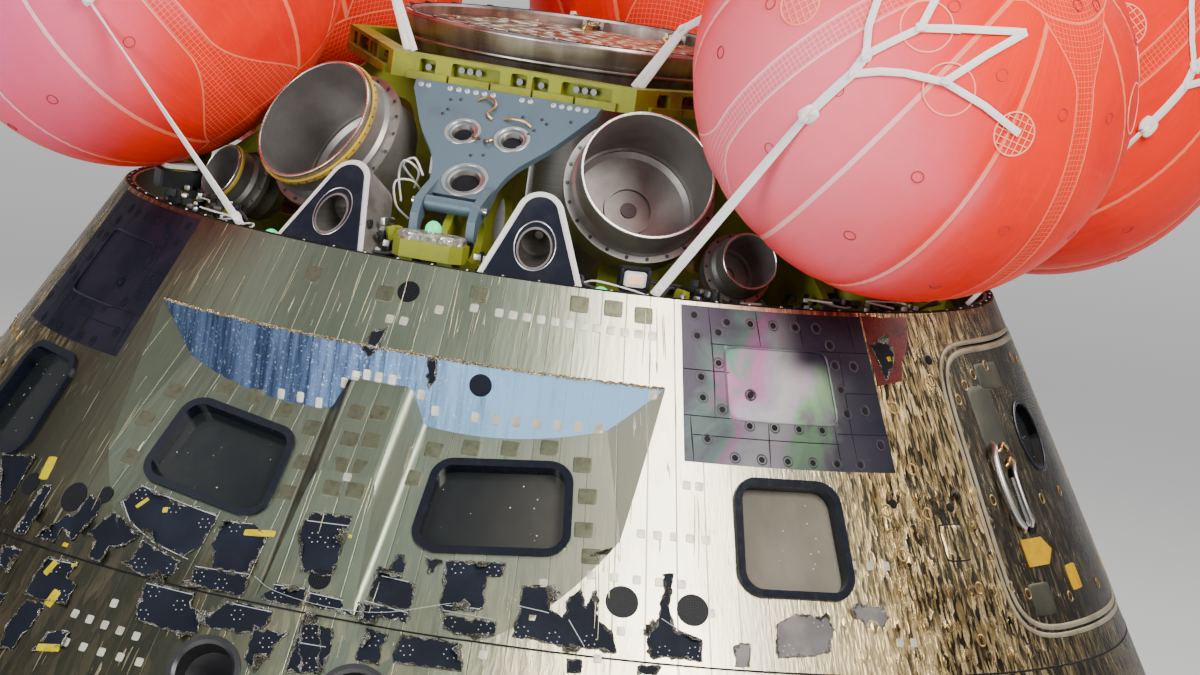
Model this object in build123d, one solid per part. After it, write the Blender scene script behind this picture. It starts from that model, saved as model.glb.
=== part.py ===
from build123d import *
import os
from math import sin, cos, tan, radians, degrees, sqrt, asin, atan2

# Space capsule with its forward bay open and its five righting airbags inflated.
# Millimetres. +Z is up, the origin is at the lowest point of the heat shield,
# and the front, with the two large windows, faces -Y.
# Azimuth is in degrees about +Z: 0 at -Y (front), 90 at +X (the side hatch).

os.makedirs("parts", exist_ok=True)

# Outer form
cone_angle = 30.0             # half angle of the conical backshell
max_radius = 2514.6           # widest radius, at the shoulder
shoulder_radius = 251.5       # rounding of the shoulder
shield_radius = 6035.0        # spherical radius of the heat shield
rim_z = 2560.0                # top rim of the backshell
seam_z = 1500.0               # joint between lower and upper backshell panels

# Walls
wall = 180.0                  # whole wall, outer skin to inner lining
rim_wall = 30.0               # thin wall above the forward bulkhead
shield_wall = 80.0
ledge_z = 2360.0              # ledge inside the wall that carries the forward bulkhead
bulkhead_thickness = 50.0
floor_thickness = 40.0
shield_lip = 330.0            # width of the shield's flat top edge
shield_bolt_circle = 3600.0
shield_bolt_radius = 30.0
shield_bolt_azimuths = (45.0, 135.0, 225.0, 315.0)

# Clearances
seat_gap = 0.3                # pieces that sit against each other
seam_gap = 0.3                # each side of a panel seam
moving_gap = 6.0              # round a hatch
pin_gap = 0.08                # hinge pin in its barrel
edge_gap = 4.0                # loose fit of the bulkhead and floor at the wall

# Upper panels: name, first azimuth, last azimuth
upper_panels = [
    ("front_window_panel", -32.5, 32.5),
    ("right_side_panel", 32.5, 64.0),
    ("hatch_surround", 64.0, 116.0),
    ("rear_right_panel", 116.0, 180.0),
    ("rear_left_panel", 180.0, 244.0),
    ("left_rear_side_panel", 244.0, 296.0),
    ("left_side_panel", 296.0, 327.5),
]
# Lower panels: name, first azimuth, last azimuth
lower_panels = [
    ("lower_front_right_panel", 0.0, 90.0),
    ("lower_rear_right_panel", 90.0, 180.0),
    ("lower_rear_left_panel", 180.0, 270.0),
    ("lower_front_left_panel", 270.0, 360.0),
]

# Front window bay
bay_wall_radius = 1640.0      # upright curved wall at the back of the bay
window_normal_az = 10.27      # facing of the flat window panel
window_normal_elevation = 38.43
window_centre = (452.6, -1740.6, 1876.1)
window_turn = 7.93            # turn of the window in its panel
window_corners = [(-267, -168), (250, -168), (246, 174), (-189, 174)]
window_corner_radius = 80.0
cheek_normal_az = -7.3        # facing of the flat cheek outboard of the window
cheek_normal_elevation = 32.7
cheek_point = (865.0, -1696.0, 1839.0)
rib_foot_half_width = 158.0   # half width of the rib between the windows, where it meets their panels
rib_crest_half_width = 103.0  # half width of its crest before the shoulders are rounded
rib_height = 75.0             # height of its crest above its foot
rib_shoulder_radius = 45.0
rib_foot_radius = 34.0

# Side windows
side_window_az = 44.5
side_window_z = 1887.0
side_window_width = 402.0
side_window_height = 396.0
side_window_radius = 85.0

# Window build-up
frame_width = 26.0
frame_proud = 7.0
frame_depth = 70.0
pane_recess = 38.0
pane_thickness = 22.0

# Access panels beside the windows: azimuth of each edge, height of each edge
access_az = (33.4, 59.0)
access_z = (2090.0, 2548.0)
access_thickness = 18.0
port_az = (38.6, 52.4)
port_z = (2222.0, 2440.0)
port_recess = 5.0

# Side hatch
hatch_az = 90.0
hatch_half_angle = 18.6
hatch_z = (1600.0, 2454.0)
hatch_cover = 28.0            # thickness of the cover that lies in the skin
hatch_corner_radius = 140.0
plug_half_angle = 14.5
plug_z = (1690.0, 2270.0)
plug_corner_radius = 90.0
hatch_window_z = 2163.0
hatch_window_radius = 112.0
hinge_reach = 45.0            # hinge axis beyond the hatch's edge
hinge_depth = 14.0            # hinge axis below the skin
hinge_barrel = 14.0
hinge_pin = 9.0
hinge_length = 90.0
hinge_heights = (1760.0, 2290.0)
handle_az = 80.4
handle_z = 1985.0

# Cabin
seat_places = [(-430.0, 250.0), (430.0, 250.0)]
console_size = (1500.0, 90.0, 330.0)
console_tilt = 25.0
console_y = -620.0
console_z = 1960.0
console_post_x = 600.0

# Forward bay
tunnel_radius = 430.0
tunnel_wall = 24.0
tunnel_top = 3150.0
flange_top = 3166.0
ring_top = 3260.0
ring_band_z = 3173.0
ring_radius = 631.0
ring_lower_radius = 608.0
ring_inner_radius = 592.0
lid_top = 3226.0
lid_thickness = 34.0
lid_hinge_x = (-150.0, 150.0)
lid_hinge_y = 530.0
lid_hinge_z = 3241.0
frame_apothem = 735.0         # six-sided frame round the tunnel
frame_z = (3070.0, 3152.0)
frame_rail = 60.0
frame_pockets = [(-300.0, 56.0), (-131.0, 170.0), (19.0, 56.0), (94.0, 58.0), (255.0, 176.0)]  # middle, width
frame_tab = (139.0, 15.0, 26.0)   # width, thickness and height of the tabs along the frame's foot
frame_tab_pitch = 147.0
gusset_thickness = 26.0
fitting_low_r = 1150.0        # lower end of the gussets' slope, and of the fitting on the front one
fitting_low_z = 2730.0
gusset_foot_radius = 1430.0
gusset_azimuths = (0.0, 60.0, 120.0, 180.0, 240.0, 300.0)
plate_thickness = 22.0
flared_holes = [(-85.0, -208.0, 32.0, 54.0), (85.0, -208.0, 32.0, 54.0), (0.0, -424.0, 46.0, 70.0)]
lug_x = 97.0                  # forked lugs at the plate's foot
lug_thickness = 28.0
lug_pin_y = -1205.0
lug_pin_z = 2725.0
lug_pin_radius = 24.0

# Small equipment behind the front rim
tray_y = -1338.0
tray_size = (236.0, 132.0, 56.0)
tray_z = 2564.0
tray_leg_x = 66.0
tray_leg = (48.0, 90.0)
casting_size = (218.0, 116.0, 24.0)
lamp_radius = 26.0
lamp_height = 40.0
side_lamps = [(23.8, 1398.0, 2522.0), (-23.8, 1398.0, 2522.0)]     # azimuth, radius, foot of the lens
lamp_stem_radius = 12.0
# Boxes: azimuth, radius, underside, tangential, radial and upright size
bay_boxes = [(-55.0, 1350.0, 2584.0, 110.0, 140.0, 58.0), (28.1, 1350.0, 2560.0, 92.0, 70.0, 70.0)]
box_post_radius = 16.0

# Mortar cans: azimuth, radius and height of the mouth's centre; facing; can radius; depth
large_can = dict(az=30.3, r=1148.0, z=2909.0, face_az=27.5, face_el=29.9, radius=219.0,
                 depth=300.0, flange_at=135.0, flange=250.0)
small_can = dict(az=46.6, r=1268.0, z=2677.0, face_az=38.4, face_el=22.8, radius=93.0,
                 depth=210.0, flange_at=105.0, flange=118.0)
can_wall = 6.0
rear_can_az = 150.0

# Thruster pods on the rim
pod_az = 14.4
pod_radius = 1434.0
pod_half_width = 168.0
pod_height = 306.0
pod_apex_radius = 78.0
pod_depth = 170.0
pod_skirt = 240.0             # how far the housing runs down below the rim
pod_face_inset = 21.0
pod_face_thickness = 8.0
nozzle_radius = 57.0
nozzle_elevation = -10.0
# Lower thrusters: azimuth, height
lower_thrusters = [(-6.6, 1285.0), (6.2, 1285.0), (17.0, 1285.0), (173.4, 1285.0), (186.6, 1285.0)]
lower_thruster_radius = 122.0

# Airbags: name, azimuth
airbags = [
    ("airbag_front_right", 59.5),
    ("airbag_front_left", -59.5),
    ("airbag_rear_right", 115.0),
    ("airbag_rear_left", -115.0),
    ("airbag_rear_centre", 180.0),
]
bag_centre_radius = 1576.0
bag_centre_z = 3335.0
bag_radius = 712.0
bag_base_radius = 1270.0
bag_base_size = 62.0
bag_base_turn = 8.0           # bag bases stand beside the gussets by this azimuth

# Screens set in the skin: azimuth, height, radius
screens = [(27.4, 1668.0, 52.0), (33.9, 1664.0, 52.0), (-27.6, 1668.0, 52.0), (-34.2, 1664.0, 40.0),
           (0.6, 1607.0, 36.0), (-24.0, 1700.0, 30.0), (0.5, 2473.0, 36.0)]
screen_thickness = 9.0

# Worked out from the sizes above
slope = tan(radians(cone_angle))
shoulder_centre_r = max_radius - shoulder_radius
shoulder_centre_z = shield_radius - sqrt((shield_radius - shoulder_radius) ** 2 - shoulder_centre_r ** 2)
base_r = shoulder_centre_r + shoulder_radius * cos(radians(cone_angle))
base_z = shoulder_centre_z + shoulder_radius * sin(radians(cone_angle))
apex_z = base_z + base_r / slope
deck_z = ledge_z + seat_gap + bulkhead_thickness
floor_z = base_z + seat_gap + floor_thickness
inner_offset = wall / cos(radians(cone_angle))
rim_offset = rim_wall / cos(radians(cone_angle))


def skin_radius(z):
    """Radius of the outer cone at height z."""
    return (apex_z - z) * slope


def skin_point(z, depth=0.0):
    """Radius and height of the point that lies `depth` inside the skin, square to it."""
    return (skin_radius(z) - depth * cos(radians(cone_angle)), z - depth * sin(radians(cone_angle)))


def polar(az, r, z):
    return Vector(r * sin(radians(az)), -r * cos(radians(az)), z)


def facing(az, elevation):
    """Unit vector that points out at an azimuth and an elevation."""
    level = cos(radians(elevation))
    return Vector(level * sin(radians(az)), -level * cos(radians(az)), sin(radians(elevation)))


def plane_at(origin, az, elevation, turn=0.0):
    """Plane whose normal faces az and elevation, with x level and y up the slope."""
    out = facing(az, elevation)
    level = Vector(cos(radians(az)), sin(radians(az)), 0)
    across = level * cos(radians(turn)) + out.cross(level) * sin(radians(turn))
    return Plane(origin=origin, x_dir=across, z_dir=out)


def skin_plane(az, z, lift=0.0):
    """Plane on the outer cone at az and z, lifted square to the skin."""
    foot = polar(az, skin_radius(z), z) + facing(az, cone_angle) * lift
    return plane_at(foot, az, cone_angle)


def turned(profile, az0, az1):
    """Solid swept by a profile of (radius, height) points between two azimuths."""
    face = make_face(Plane.XZ * Polyline(*profile, close=True))
    body = revolve(face, axis=Axis.Z, revolution_arc=az1 - az0)
    return Rot(0, 0, az0 - 90) * body


def seam_angle(radius):
    return degrees(seam_gap / radius)


def outline(points, radius, grow=0.0):
    """Rounded outline through the points, grown by an even margin."""
    shape = fillet(Polygon(*points, align=None).vertices(), radius)
    return offset(shape, grow) if grow else shape


def half_space(plane, size=4000.0, height=2500.0):
    """Large block that stands on a plane."""
    return plane * Pos(0, 0, height / 2) * Box(size, size, height)


def drilled(plane, radius, depth, above=60.0):
    """Round cutter along a plane's normal, from above it down to a depth."""
    return plane * Pos(0, 0, (above - depth) / 2) * Cylinder(radius, above + depth)


def mirrored(shape):
    return mirror(shape, about=Plane.YZ)


def save(name, *solids):
    shape = solids[0] if len(solids) == 1 else Compound(children=list(solids))
    export_step(shape, "parts/" + name + ".step")


# Heat shield: a spherical dish with a rounded shoulder and a flat top edge
def heat_shield():
    tangent_r = shoulder_centre_r * shield_radius / (shield_radius - shoulder_radius)
    tangent_z = shield_radius - sqrt(shield_radius ** 2 - tangent_r ** 2)
    mid = radians(-cone_angle)
    lip_r = base_r - shield_lip
    inner = shield_radius - shield_wall
    dish_r = lip_r - 60.0
    dish_z = shield_radius - sqrt(inner ** 2 - dish_r ** 2)
    half_r = tangent_r / 2
    half_z = shield_radius - sqrt(shield_radius ** 2 - half_r ** 2)
    inner_r = dish_r / 2
    inner_z = shield_radius - sqrt(inner ** 2 - inner_r ** 2)
    shoulder_z = shoulder_centre_z + shoulder_radius * sin(mid)
    shoulder = (shoulder_centre_r + shoulder_radius * cos(mid), shoulder_z)
    edges = [
        ThreePointArc((0, 0), (half_r, half_z), (tangent_r, tangent_z)),
        ThreePointArc((tangent_r, tangent_z), shoulder, (base_r, base_z)),
        Line((base_r, base_z), (lip_r, base_z)),
        Line((lip_r, base_z), (dish_r, dish_z)),
        ThreePointArc((dish_r, dish_z), (inner_r, inner_z), (0, shield_wall)),
        Line((0, shield_wall), (0, 0)),
    ]
    face = make_face(Plane.XZ * Curve(edges))
    dish = revolve(face, axis=Axis.Z, revolution_arc=360)
    for az in shield_bolt_azimuths:
        foot = polar(az, shield_bolt_circle / 2, 0)
        hole_top = shield_radius - sqrt(inner ** 2 - (shield_bolt_circle / 2) ** 2) + 40
        dish -= Pos(foot.X, foot.Y, hole_top / 2) * Cylinder(shield_bolt_radius, hole_top + 2)
    return dish


# Backshell panels
def upper_wall(az0, az1):
    inner_top = skin_radius(ledge_z) - inner_offset
    profile = [
        skin_point(seam_z + seam_gap),
        (skin_radius(rim_z), rim_z),
        (skin_radius(rim_z) - rim_offset, rim_z),
        (skin_radius(ledge_z) - rim_offset, ledge_z),
        (inner_top, ledge_z),
        skin_point(seam_z + seam_gap, wall),
    ]
    trim = seam_angle(skin_radius(rim_z))
    return turned(profile, az0 + trim, az1 - trim)


def lower_wall(az0, az1):
    foot = base_z + seam_gap
    profile = [
        (skin_radius(foot), foot),
        skin_point(seam_z - seam_gap),
        skin_point(seam_z - seam_gap, wall),
        (skin_radius(foot) - inner_offset, foot),
    ]
    trim = seam_angle(skin_radius(seam_z))
    return turned(profile, az0 + trim, az1 - trim)


def window_plane(lift=0.0):
    place = plane_at(Vector(*window_centre), window_normal_az, window_normal_elevation, window_turn)
    return place.offset(lift)


def window_rib():
    """Rib between the windows: a low profile with round shoulders, run along their panels."""
    panel = window_plane()
    out = panel.z_dir
    foot_x = rib_foot_half_width
    foot_z = window_centre[2]
    foot_y = (panel.origin.dot(out) - out.X * foot_x - out.Z * foot_z) / out.Y
    along = Vector(0, out.Z, -out.Y).normalized()
    place = Plane(origin=(0, foot_y, foot_z), x_dir=(1, 0, 0), z_dir=along)
    up = 1 if place.y_dir.Z > 0 else -1
    skirt = 140.0
    fall = skirt * out.X / Vector(0, out.Y, out.Z).length + 1
    half = [(rib_crest_half_width, rib_height), (foot_x, 0), (foot_x + skirt, -fall), (foot_x + skirt, -wall)]
    right = [(x, up * y) for x, y in half]
    left = [(-x, y) for x, y in reversed(right)]
    profile = Polygon(*right, *left, align=None)
    shoulders = [v for v in profile.vertices() if abs(v.Y - up * rib_height) < 1]
    profile = fillet(shoulders, rib_shoulder_radius)
    feet = [v for v in profile.vertices() if abs(v.Y) < 0.01]
    profile = fillet(feet, rib_foot_radius)
    return extrude(place * profile, amount=1200, both=True)


def window_bay():
    """Material taken out of the front panel round both windows, up to the bay's curved wall."""
    block = half_space(window_plane())
    block &= half_space(plane_at(Vector(*cheek_point), cheek_normal_az, cheek_normal_elevation))
    block -= Pos(0, 0, 1500) * Cylinder(bay_wall_radius, 4000)
    return block + mirrored(block) - window_rib()


def side_window_points():
    w, h = side_window_width / 2, side_window_height / 2
    taper = 0.035 * side_window_width
    return [(-w - taper, -h), (w + taper, -h), (w - taper, h), (-w + taper, h)]


# Each window: plane on its panel, outline points, corner radius
def window_places():
    front = (window_plane(), window_corners, window_corner_radius)
    side = (skin_plane(side_window_az, side_window_z), side_window_points(), side_window_radius)
    return front, side


def window_cutter(place, points, radius):
    hole = outline(points, radius, seat_gap)
    return extrude(place * hole, amount=wall + 60, both=True)


def window_frame(place, points, radius):
    """Deep black frame: a rounded ring with a rebate that holds the pane."""
    outer = outline(points, radius)
    inner = outline(points, radius, -frame_width)
    rebate = outline(points, radius, -frame_width / 2)
    ring = extrude(place.offset(frame_proud) * outer, amount=-(frame_depth + frame_proud))
    ring -= extrude(place.offset(frame_proud + 1) * inner, amount=-(frame_depth + frame_proud + 2))
    pane_top = -pane_recess
    ring -= extrude(place.offset(pane_top) * rebate, amount=-(frame_depth))
    return ring


def window_pane(place, points, radius):
    glass = outline(points, radius, -frame_width / 2 - seat_gap)
    return extrude(place.offset(-pane_recess - seat_gap) * glass, amount=-pane_thickness)


# Access panel: the dark removable panel beside the windows, with a shallow port
def access_block(grow, depth, lift=0.0):
    z0, z1 = access_z
    turn = degrees(grow / skin_radius((z0 + z1) / 2))
    profile = [skin_point(z0 - grow, -lift), skin_point(z1 + grow, -lift),
               skin_point(z1 + grow, depth), skin_point(z0 - grow, depth)]
    return turned(profile, access_az[0] - turn, access_az[1] + turn)


def access_panel():
    plate = access_block(0, access_thickness)
    z0, z1 = port_z
    profile = [skin_point(z0, -5), skin_point(z1, -5),
               skin_point(z1, port_recess), skin_point(z0, port_recess)]
    port = turned(profile, *port_az)
    across = [e for e in port.edges() if abs(e.length - port_recess - 5) < 0.5]
    return plate - fillet(across, 28)


# Side hatch, hinged at its rear edge
def hatch_block(half_angle, heights, depths, radius, grow=0.0):
    z0, z1 = heights
    turn = half_angle + degrees(grow / skin_radius(z1))
    profile = [skin_point(z0 - grow, depths[0]), skin_point(z1 + grow, depths[0]),
               skin_point(z1 + grow, depths[1]), skin_point(z0 - grow, depths[1])]
    block = turned(profile, hatch_az - turn, hatch_az + turn)
    length = depths[1] - depths[0]
    across = [e for e in block.edges() if abs(e.length - length) < 0.5]
    return fillet(across, radius + grow)


def hatch_body():
    cover = hatch_block(hatch_half_angle, hatch_z, (0, hatch_cover), hatch_corner_radius)
    plug = hatch_block(plug_half_angle, plug_z, (hatch_cover - 2, wall), plug_corner_radius)
    return cover + plug


def hatch_opening():
    depths = (-40, hatch_cover + moving_gap)
    cover = hatch_block(hatch_half_angle, hatch_z, depths, hatch_corner_radius, moving_gap)
    plug = hatch_block(plug_half_angle, plug_z, (-40, wall + 80), plug_corner_radius, moving_gap)
    return cover + plug


hinge_az = hatch_az + hatch_half_angle


def hinge_plane(z):
    """Plane square to the hinge axis; its x points along the skin to the hatch."""
    level = Vector(cos(radians(hinge_az)), sin(radians(hinge_az)), 0)
    up = Vector(-sin(radians(hinge_az)) * sin(radians(cone_angle)),
                cos(radians(hinge_az)) * sin(radians(cone_angle)), cos(radians(cone_angle)))
    edge = polar(hinge_az, skin_radius(z), z) + level * hinge_reach
    origin = edge - facing(hinge_az, cone_angle) * hinge_depth
    return Plane(origin=origin, x_dir=-level, z_dir=up)


def hinge_notch(z):
    length = hinge_length + 2 * moving_gap
    floor = hinge_barrel + moving_gap
    high = 60.0
    wide = hinge_reach + 8 + floor + moving_gap
    return hinge_plane(z) * Pos(wide / 2 - floor, -(high - floor) / 2, 0) * Box(wide, floor + high, length)


def hinge_pin_solid(z):
    return hinge_plane(z) * Cylinder(hinge_pin, hinge_length + 2 * moving_gap + 8)


def hinge_barrel_solid(z):
    barrel = Cylinder(hinge_barrel, hinge_length)
    arm_reach = hinge_reach + 30
    arm = Pos(arm_reach / 2, 0, 0) * Box(arm_reach, 2 * hinge_barrel - 6, hinge_length)
    return hinge_plane(z) * ((barrel + arm) - Cylinder(hinge_pin + pin_gap, hinge_length + 2))


# Mortar can: an open tube with a bolted flange and a floor with a raised ring
def can_plane(can, side=1):
    centre = polar(side * can["az"], can["r"], can["z"])
    return plane_at(centre, side * can["face_az"], can["face_el"])


def mortar(can, side=1, place=None):
    place = place or can_plane(can, side)
    radius, depth = can["radius"], can["depth"]
    bore = radius - can_wall
    base = radius + 9.0
    flange_at = can["flange_at"]
    flange = can["flange"]
    profile = [
        (0, -depth - 16), (base * 0.72, -depth - 16), (base, -depth + 30), (base, -flange_at - 16),
        (flange, -flange_at - 16), (flange, -flange_at), (base, -flange_at), (base, -flange_at + 26),
        (radius, -flange_at + 40), (radius, 0), (bore, 0), (bore, -depth + 22), (bore - 9, -depth + 22),
        (bore - 9, -depth), (radius * 0.38, -depth), (radius * 0.38, -depth + 10),
        (radius * 0.33, -depth + 10), (radius * 0.33, -depth), (0, -depth),
    ]
    face = make_face(Plane.XZ * Polyline(*profile, close=True))
    return place * revolve(face, axis=Axis.Z, revolution_arc=360)


def can_bracket(can, side, place, width, reach):
    """Saddle plate under a can, from the deck up to the flange's rear."""
    radius = can["radius"] + 9.0 + seat_gap
    back = place.offset(-can["flange_at"] - 16 - seat_gap - reach / 2)
    centre = back.origin
    az = degrees(atan2(centre.X, -centre.Y))
    height = centre.Z - deck_z - seat_gap
    block = Rot(0, 0, az) * Box(width, reach, height)
    block = Pos(centre.X, centre.Y, deck_z + seat_gap + height / 2) * block
    return block - drilled(place, radius, can["depth"] + 400, 10)


# Thruster pod: a rounded three-sided housing that leans back with the cone
def pod_outline(inset=0.0):
    """Two straight flanks tangent to a round top, and upright sides below the rim."""
    centre_y = pod_height - pod_apex_radius
    radius = pod_apex_radius - inset
    corner_x = pod_half_width - inset
    reach = sqrt(corner_x ** 2 + centre_y ** 2)
    turn = atan2(centre_y, -corner_x) - asin(radius / reach)
    length = sqrt(reach ** 2 - radius ** 2)
    touch = (corner_x + length * cos(turn), length * sin(turn))
    touch_left = (-touch[0], touch[1])
    foot_y = inset - pod_skirt
    edges = [
        Line((corner_x, foot_y), (corner_x, 0)),
        Line((corner_x, 0), touch),
        ThreePointArc(touch, (0, centre_y + radius), touch_left),
        Line(touch_left, (-corner_x, 0)),
        Line((-corner_x, 0), (-corner_x, foot_y)),
        Line((-corner_x, foot_y), (corner_x, foot_y)),
    ]
    return make_face(Curve(edges))


def above_deck(shape):
    """What is left of a shape above the forward bulkhead."""
    return shape & Pos(0, 0, deck_z + seat_gap + 1000) * Box(6000, 6000, 2000)


def pod_plane(side, lift=0.0):
    return plane_at(polar(side * pod_az, pod_radius, rim_z), side * pod_az, cone_angle).offset(lift)


def pod_nozzle_plane(side):
    centre = pod_plane(side) * Pos(0, 112, 0)
    return plane_at(centre.position, side * pod_az, nozzle_elevation)


def pod_nozzle(side):
    """Nozzle tube cut off by the pod's face."""
    place = pod_nozzle_plane(side)
    outer = nozzle_radius
    profile = [
        (outer, 90), (outer, -95), (26, -150), (14, -150), (14, -140), (outer - 6, -80), (outer - 6, 90),
    ]
    face = make_face(Plane.XZ * Polyline(*profile, close=True))
    tube = place * revolve(face, axis=Axis.Z, revolution_arc=360)
    return tube - half_space(pod_plane(side, pod_face_thickness + 2))


def pod_housing(side):
    body = extrude(pod_plane(side) * pod_outline(), amount=-pod_depth)
    body -= pod_nozzle_plane(side) * Pos(0, 0, -60) * Cylinder(nozzle_radius + seat_gap, 340)
    return above_deck(body)


def pod_face(side):
    plate = extrude(pod_plane(side, seat_gap) * pod_outline(pod_face_inset), amount=pod_face_thickness)
    return above_deck(plate - pod_nozzle_plane(side) * Cylinder(nozzle_radius + seat_gap, 400))


def lower_nozzle(az, z):
    """Recessed ring with a bell that opens to the skin."""
    place = skin_plane(az, z)
    rim = lower_thruster_radius - seat_gap
    profile = [
        (rim, 4), (rim, -118), (40, -160), (22, -160),
        (22, -148), (rim - 34, -60), (rim - 26, -6), (rim - 16, 4),
    ]
    face = make_face(Plane.XZ * Polyline(*profile, close=True))
    return place * revolve(face, axis=Axis.Z, revolution_arc=360)


# Build the shell
save("heat_shield", heat_shield())

front_window, side_window = window_places()
bay = window_bay()
window_hole = window_cutter(*front_window)
side_hole = window_cutter(*side_window)
pocket = access_block(seat_gap, access_thickness + seat_gap, 60)

for name, az0, az1 in upper_panels:
    panel = upper_wall(az0, az1)
    if name == "front_window_panel":
        panel = panel - bay - window_hole - mirrored(window_hole)
    if name == "right_side_panel":
        panel = panel - side_hole - pocket
    if name == "left_side_panel":
        panel = panel - mirrored(side_hole) - mirrored(pocket)
    if name == "hatch_surround":
        panel -= hatch_opening()
        for z in hinge_heights:
            panel = panel - hinge_notch(z) + hinge_pin_solid(z)
    for az, z, radius in screens:
        spread = degrees(radius / skin_radius(z)) + 1
        middle = (az - az0 + spread) % 360
        if middle < (az1 - az0) % 360 + 2 * spread:
            panel -= drilled(skin_plane(az, z), radius + seat_gap, screen_thickness + seat_gap)
    save(name, panel)

for name, az0, az1 in lower_panels:
    panel = lower_wall(az0, az1)
    for az, z in lower_thrusters:
        if (az - az0) % 360 < 90 or abs((az - az0) % 360 - 360) < 8 or abs((az - az1) % 360) < 8:
            panel -= drilled(skin_plane(az, z), lower_thruster_radius, 165)
    save(name, panel)

save("right_access_panel", access_panel())
save("left_access_panel", mirrored(access_panel()))

front_frame = window_frame(*front_window)
side_frame = window_frame(*side_window)
save("front_window_frames", front_frame, mirrored(front_frame))
save("side_window_frames", side_frame, mirrored(side_frame))
front_pane = window_pane(*front_window)
side_pane = window_pane(*side_window)
save("window_panes", front_pane, mirrored(front_pane), side_pane, mirrored(side_pane))
save("vent_screens", *[
    extrude(skin_plane(az, z, 1.5) * Circle(radius), amount=-screen_thickness)
    for az, z, radius in screens
])

# Side hatch
hatch_window = skin_plane(hatch_az, hatch_window_z)
hatch = hatch_body()
hatch -= drilled(hatch_window, hatch_window_radius, wall + 60)
cover_block = hatch_block(hatch_half_angle, hatch_z, (-20, hatch_cover), hatch_corner_radius)
for z in hinge_heights:
    hatch += hinge_barrel_solid(z) - cover_block
handle_plane = skin_plane(handle_az, handle_z)
handle_pocket = fillet(Rectangle(90, 230).vertices(), 40)
hatch -= extrude(handle_plane * handle_pocket, amount=-24)
hatch -= extrude(handle_plane * handle_pocket, amount=60)
save("side_hatch", hatch)
glass = drilled(hatch_window.offset(-30), hatch_window_radius - seat_gap, 20, 0)
save("hatch_window_pane", glass)
grip = Pos(0, 0, -10) * Box(26, 170, 12)
post_foot = -24 + seat_gap
post_drop = -14 - post_foot
posts = Pos(0, 62, -14 - post_drop / 2) * Cylinder(9, post_drop)
posts += Pos(0, -62, -14 - post_drop / 2) * Cylinder(9, post_drop)
save("hatch_handle", handle_plane * fillet((grip + posts).edges().filter_by(Axis.Z), 4))

# Cabin
save("cabin_floor", Pos(0, 0, base_z + seat_gap + floor_thickness / 2) * Cylinder(
    skin_radius(floor_z) - inner_offset - edge_gap, floor_thickness))


def seat(x, y):
    """Reclined couch on two legs: back, pan, leg rest and head rest."""
    back = [(-520, 150), (260, 90), (520, 330), (820, 330), (820, 270), (550, 270), (290, 20), (-520, 80)]
    shell = extrude(Plane.YZ * make_face(Polyline(*back, close=True)), amount=240, both=True)
    head = Pos(0, -600, 125) * Box(260, 170, 90)
    legs = Pos(-150, -200, -160) * Box(40, 60, 540) + Pos(150, -200, -160) * Box(40, 60, 540)
    legs += Pos(-150, 240, -180) * Box(40, 60, 440) + Pos(150, 240, -180) * Box(40, 60, 440)
    couch = shell + head + legs
    low = couch.bounding_box().min.Z
    return Pos(x, y, floor_z + seat_gap - low) * couch


save("crew_seats", *[seat(x, y) for x, y in seat_places])
console = Rot(console_tilt, 0, 0) * Box(*console_size)
post_height = ledge_z - console_z
for x in (-console_post_x, console_post_x):
    console += Pos(x, 0, post_height / 2) * Box(50, 50, post_height)
save("display_console", Pos(0, console_y, console_z) * console)

# Forward bulkhead, tunnel and docking ring
deck_radius = skin_radius(deck_z) - rim_offset - edge_gap
deck = Pos(0, 0, ledge_z + seat_gap + bulkhead_thickness / 2) * Cylinder(deck_radius, bulkhead_thickness)
deck -= Pos(0, 0, ledge_z) * Cylinder(tunnel_radius - tunnel_wall, 400)
save("forward_bulkhead", deck)

tunnel_profile = [
    (tunnel_radius - tunnel_wall, deck_z + seat_gap), (tunnel_radius + 50, deck_z + seat_gap),
    (tunnel_radius + 50, deck_z + 20), (tunnel_radius, deck_z + 40), (tunnel_radius, tunnel_top - 60),
    (585, tunnel_top - 20), (585, flange_top), (tunnel_radius - tunnel_wall, flange_top),
]
save("docking_tunnel", turned(tunnel_profile, 0, 360))

lid_radius = ring_inner_radius - moving_gap
ring_profile = [
    (ring_inner_radius, ring_band_z - 34), (ring_lower_radius - 14, ring_band_z - 34),
    (ring_lower_radius - 6, ring_band_z - 8), (ring_lower_radius, ring_band_z), (ring_radius, ring_top - 10),
    (ring_radius - 4, ring_top), (ring_inner_radius + 8, ring_top), (ring_inner_radius, ring_top - 8),
]
ring = turned(ring_profile, 0, 360)
foot_profile = [(520, flange_top + seat_gap), (ring_lower_radius - 8, flange_top + seat_gap),
                (ring_lower_radius - 8, flange_top + 14), (520, flange_top + 14)]
ring += turned(foot_profile, 0, 360)
for x in lid_hinge_x:
    for side in (-1, 1):
        lug = Pos(x + side * 32, lid_hinge_y + 34, lid_hinge_z - 18) * Box(12, 84, 60)
        lug &= Pos(0, 0, 3200) * Cylinder(ring_inner_radius + 3, 200)
        ring += lug
    ring += Pos(x, lid_hinge_y, lid_hinge_z) * Rot(0, 90, 0) * Cylinder(6, 66)
bolt_hole = Pos(0, -(ring_inner_radius + ring_radius) / 2, ring_top) * Cylinder(8, 40)
for index in range(12):
    ring -= Rot(0, 0, index * 30 + 15) * bolt_hole
save("docking_ring", ring)

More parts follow.
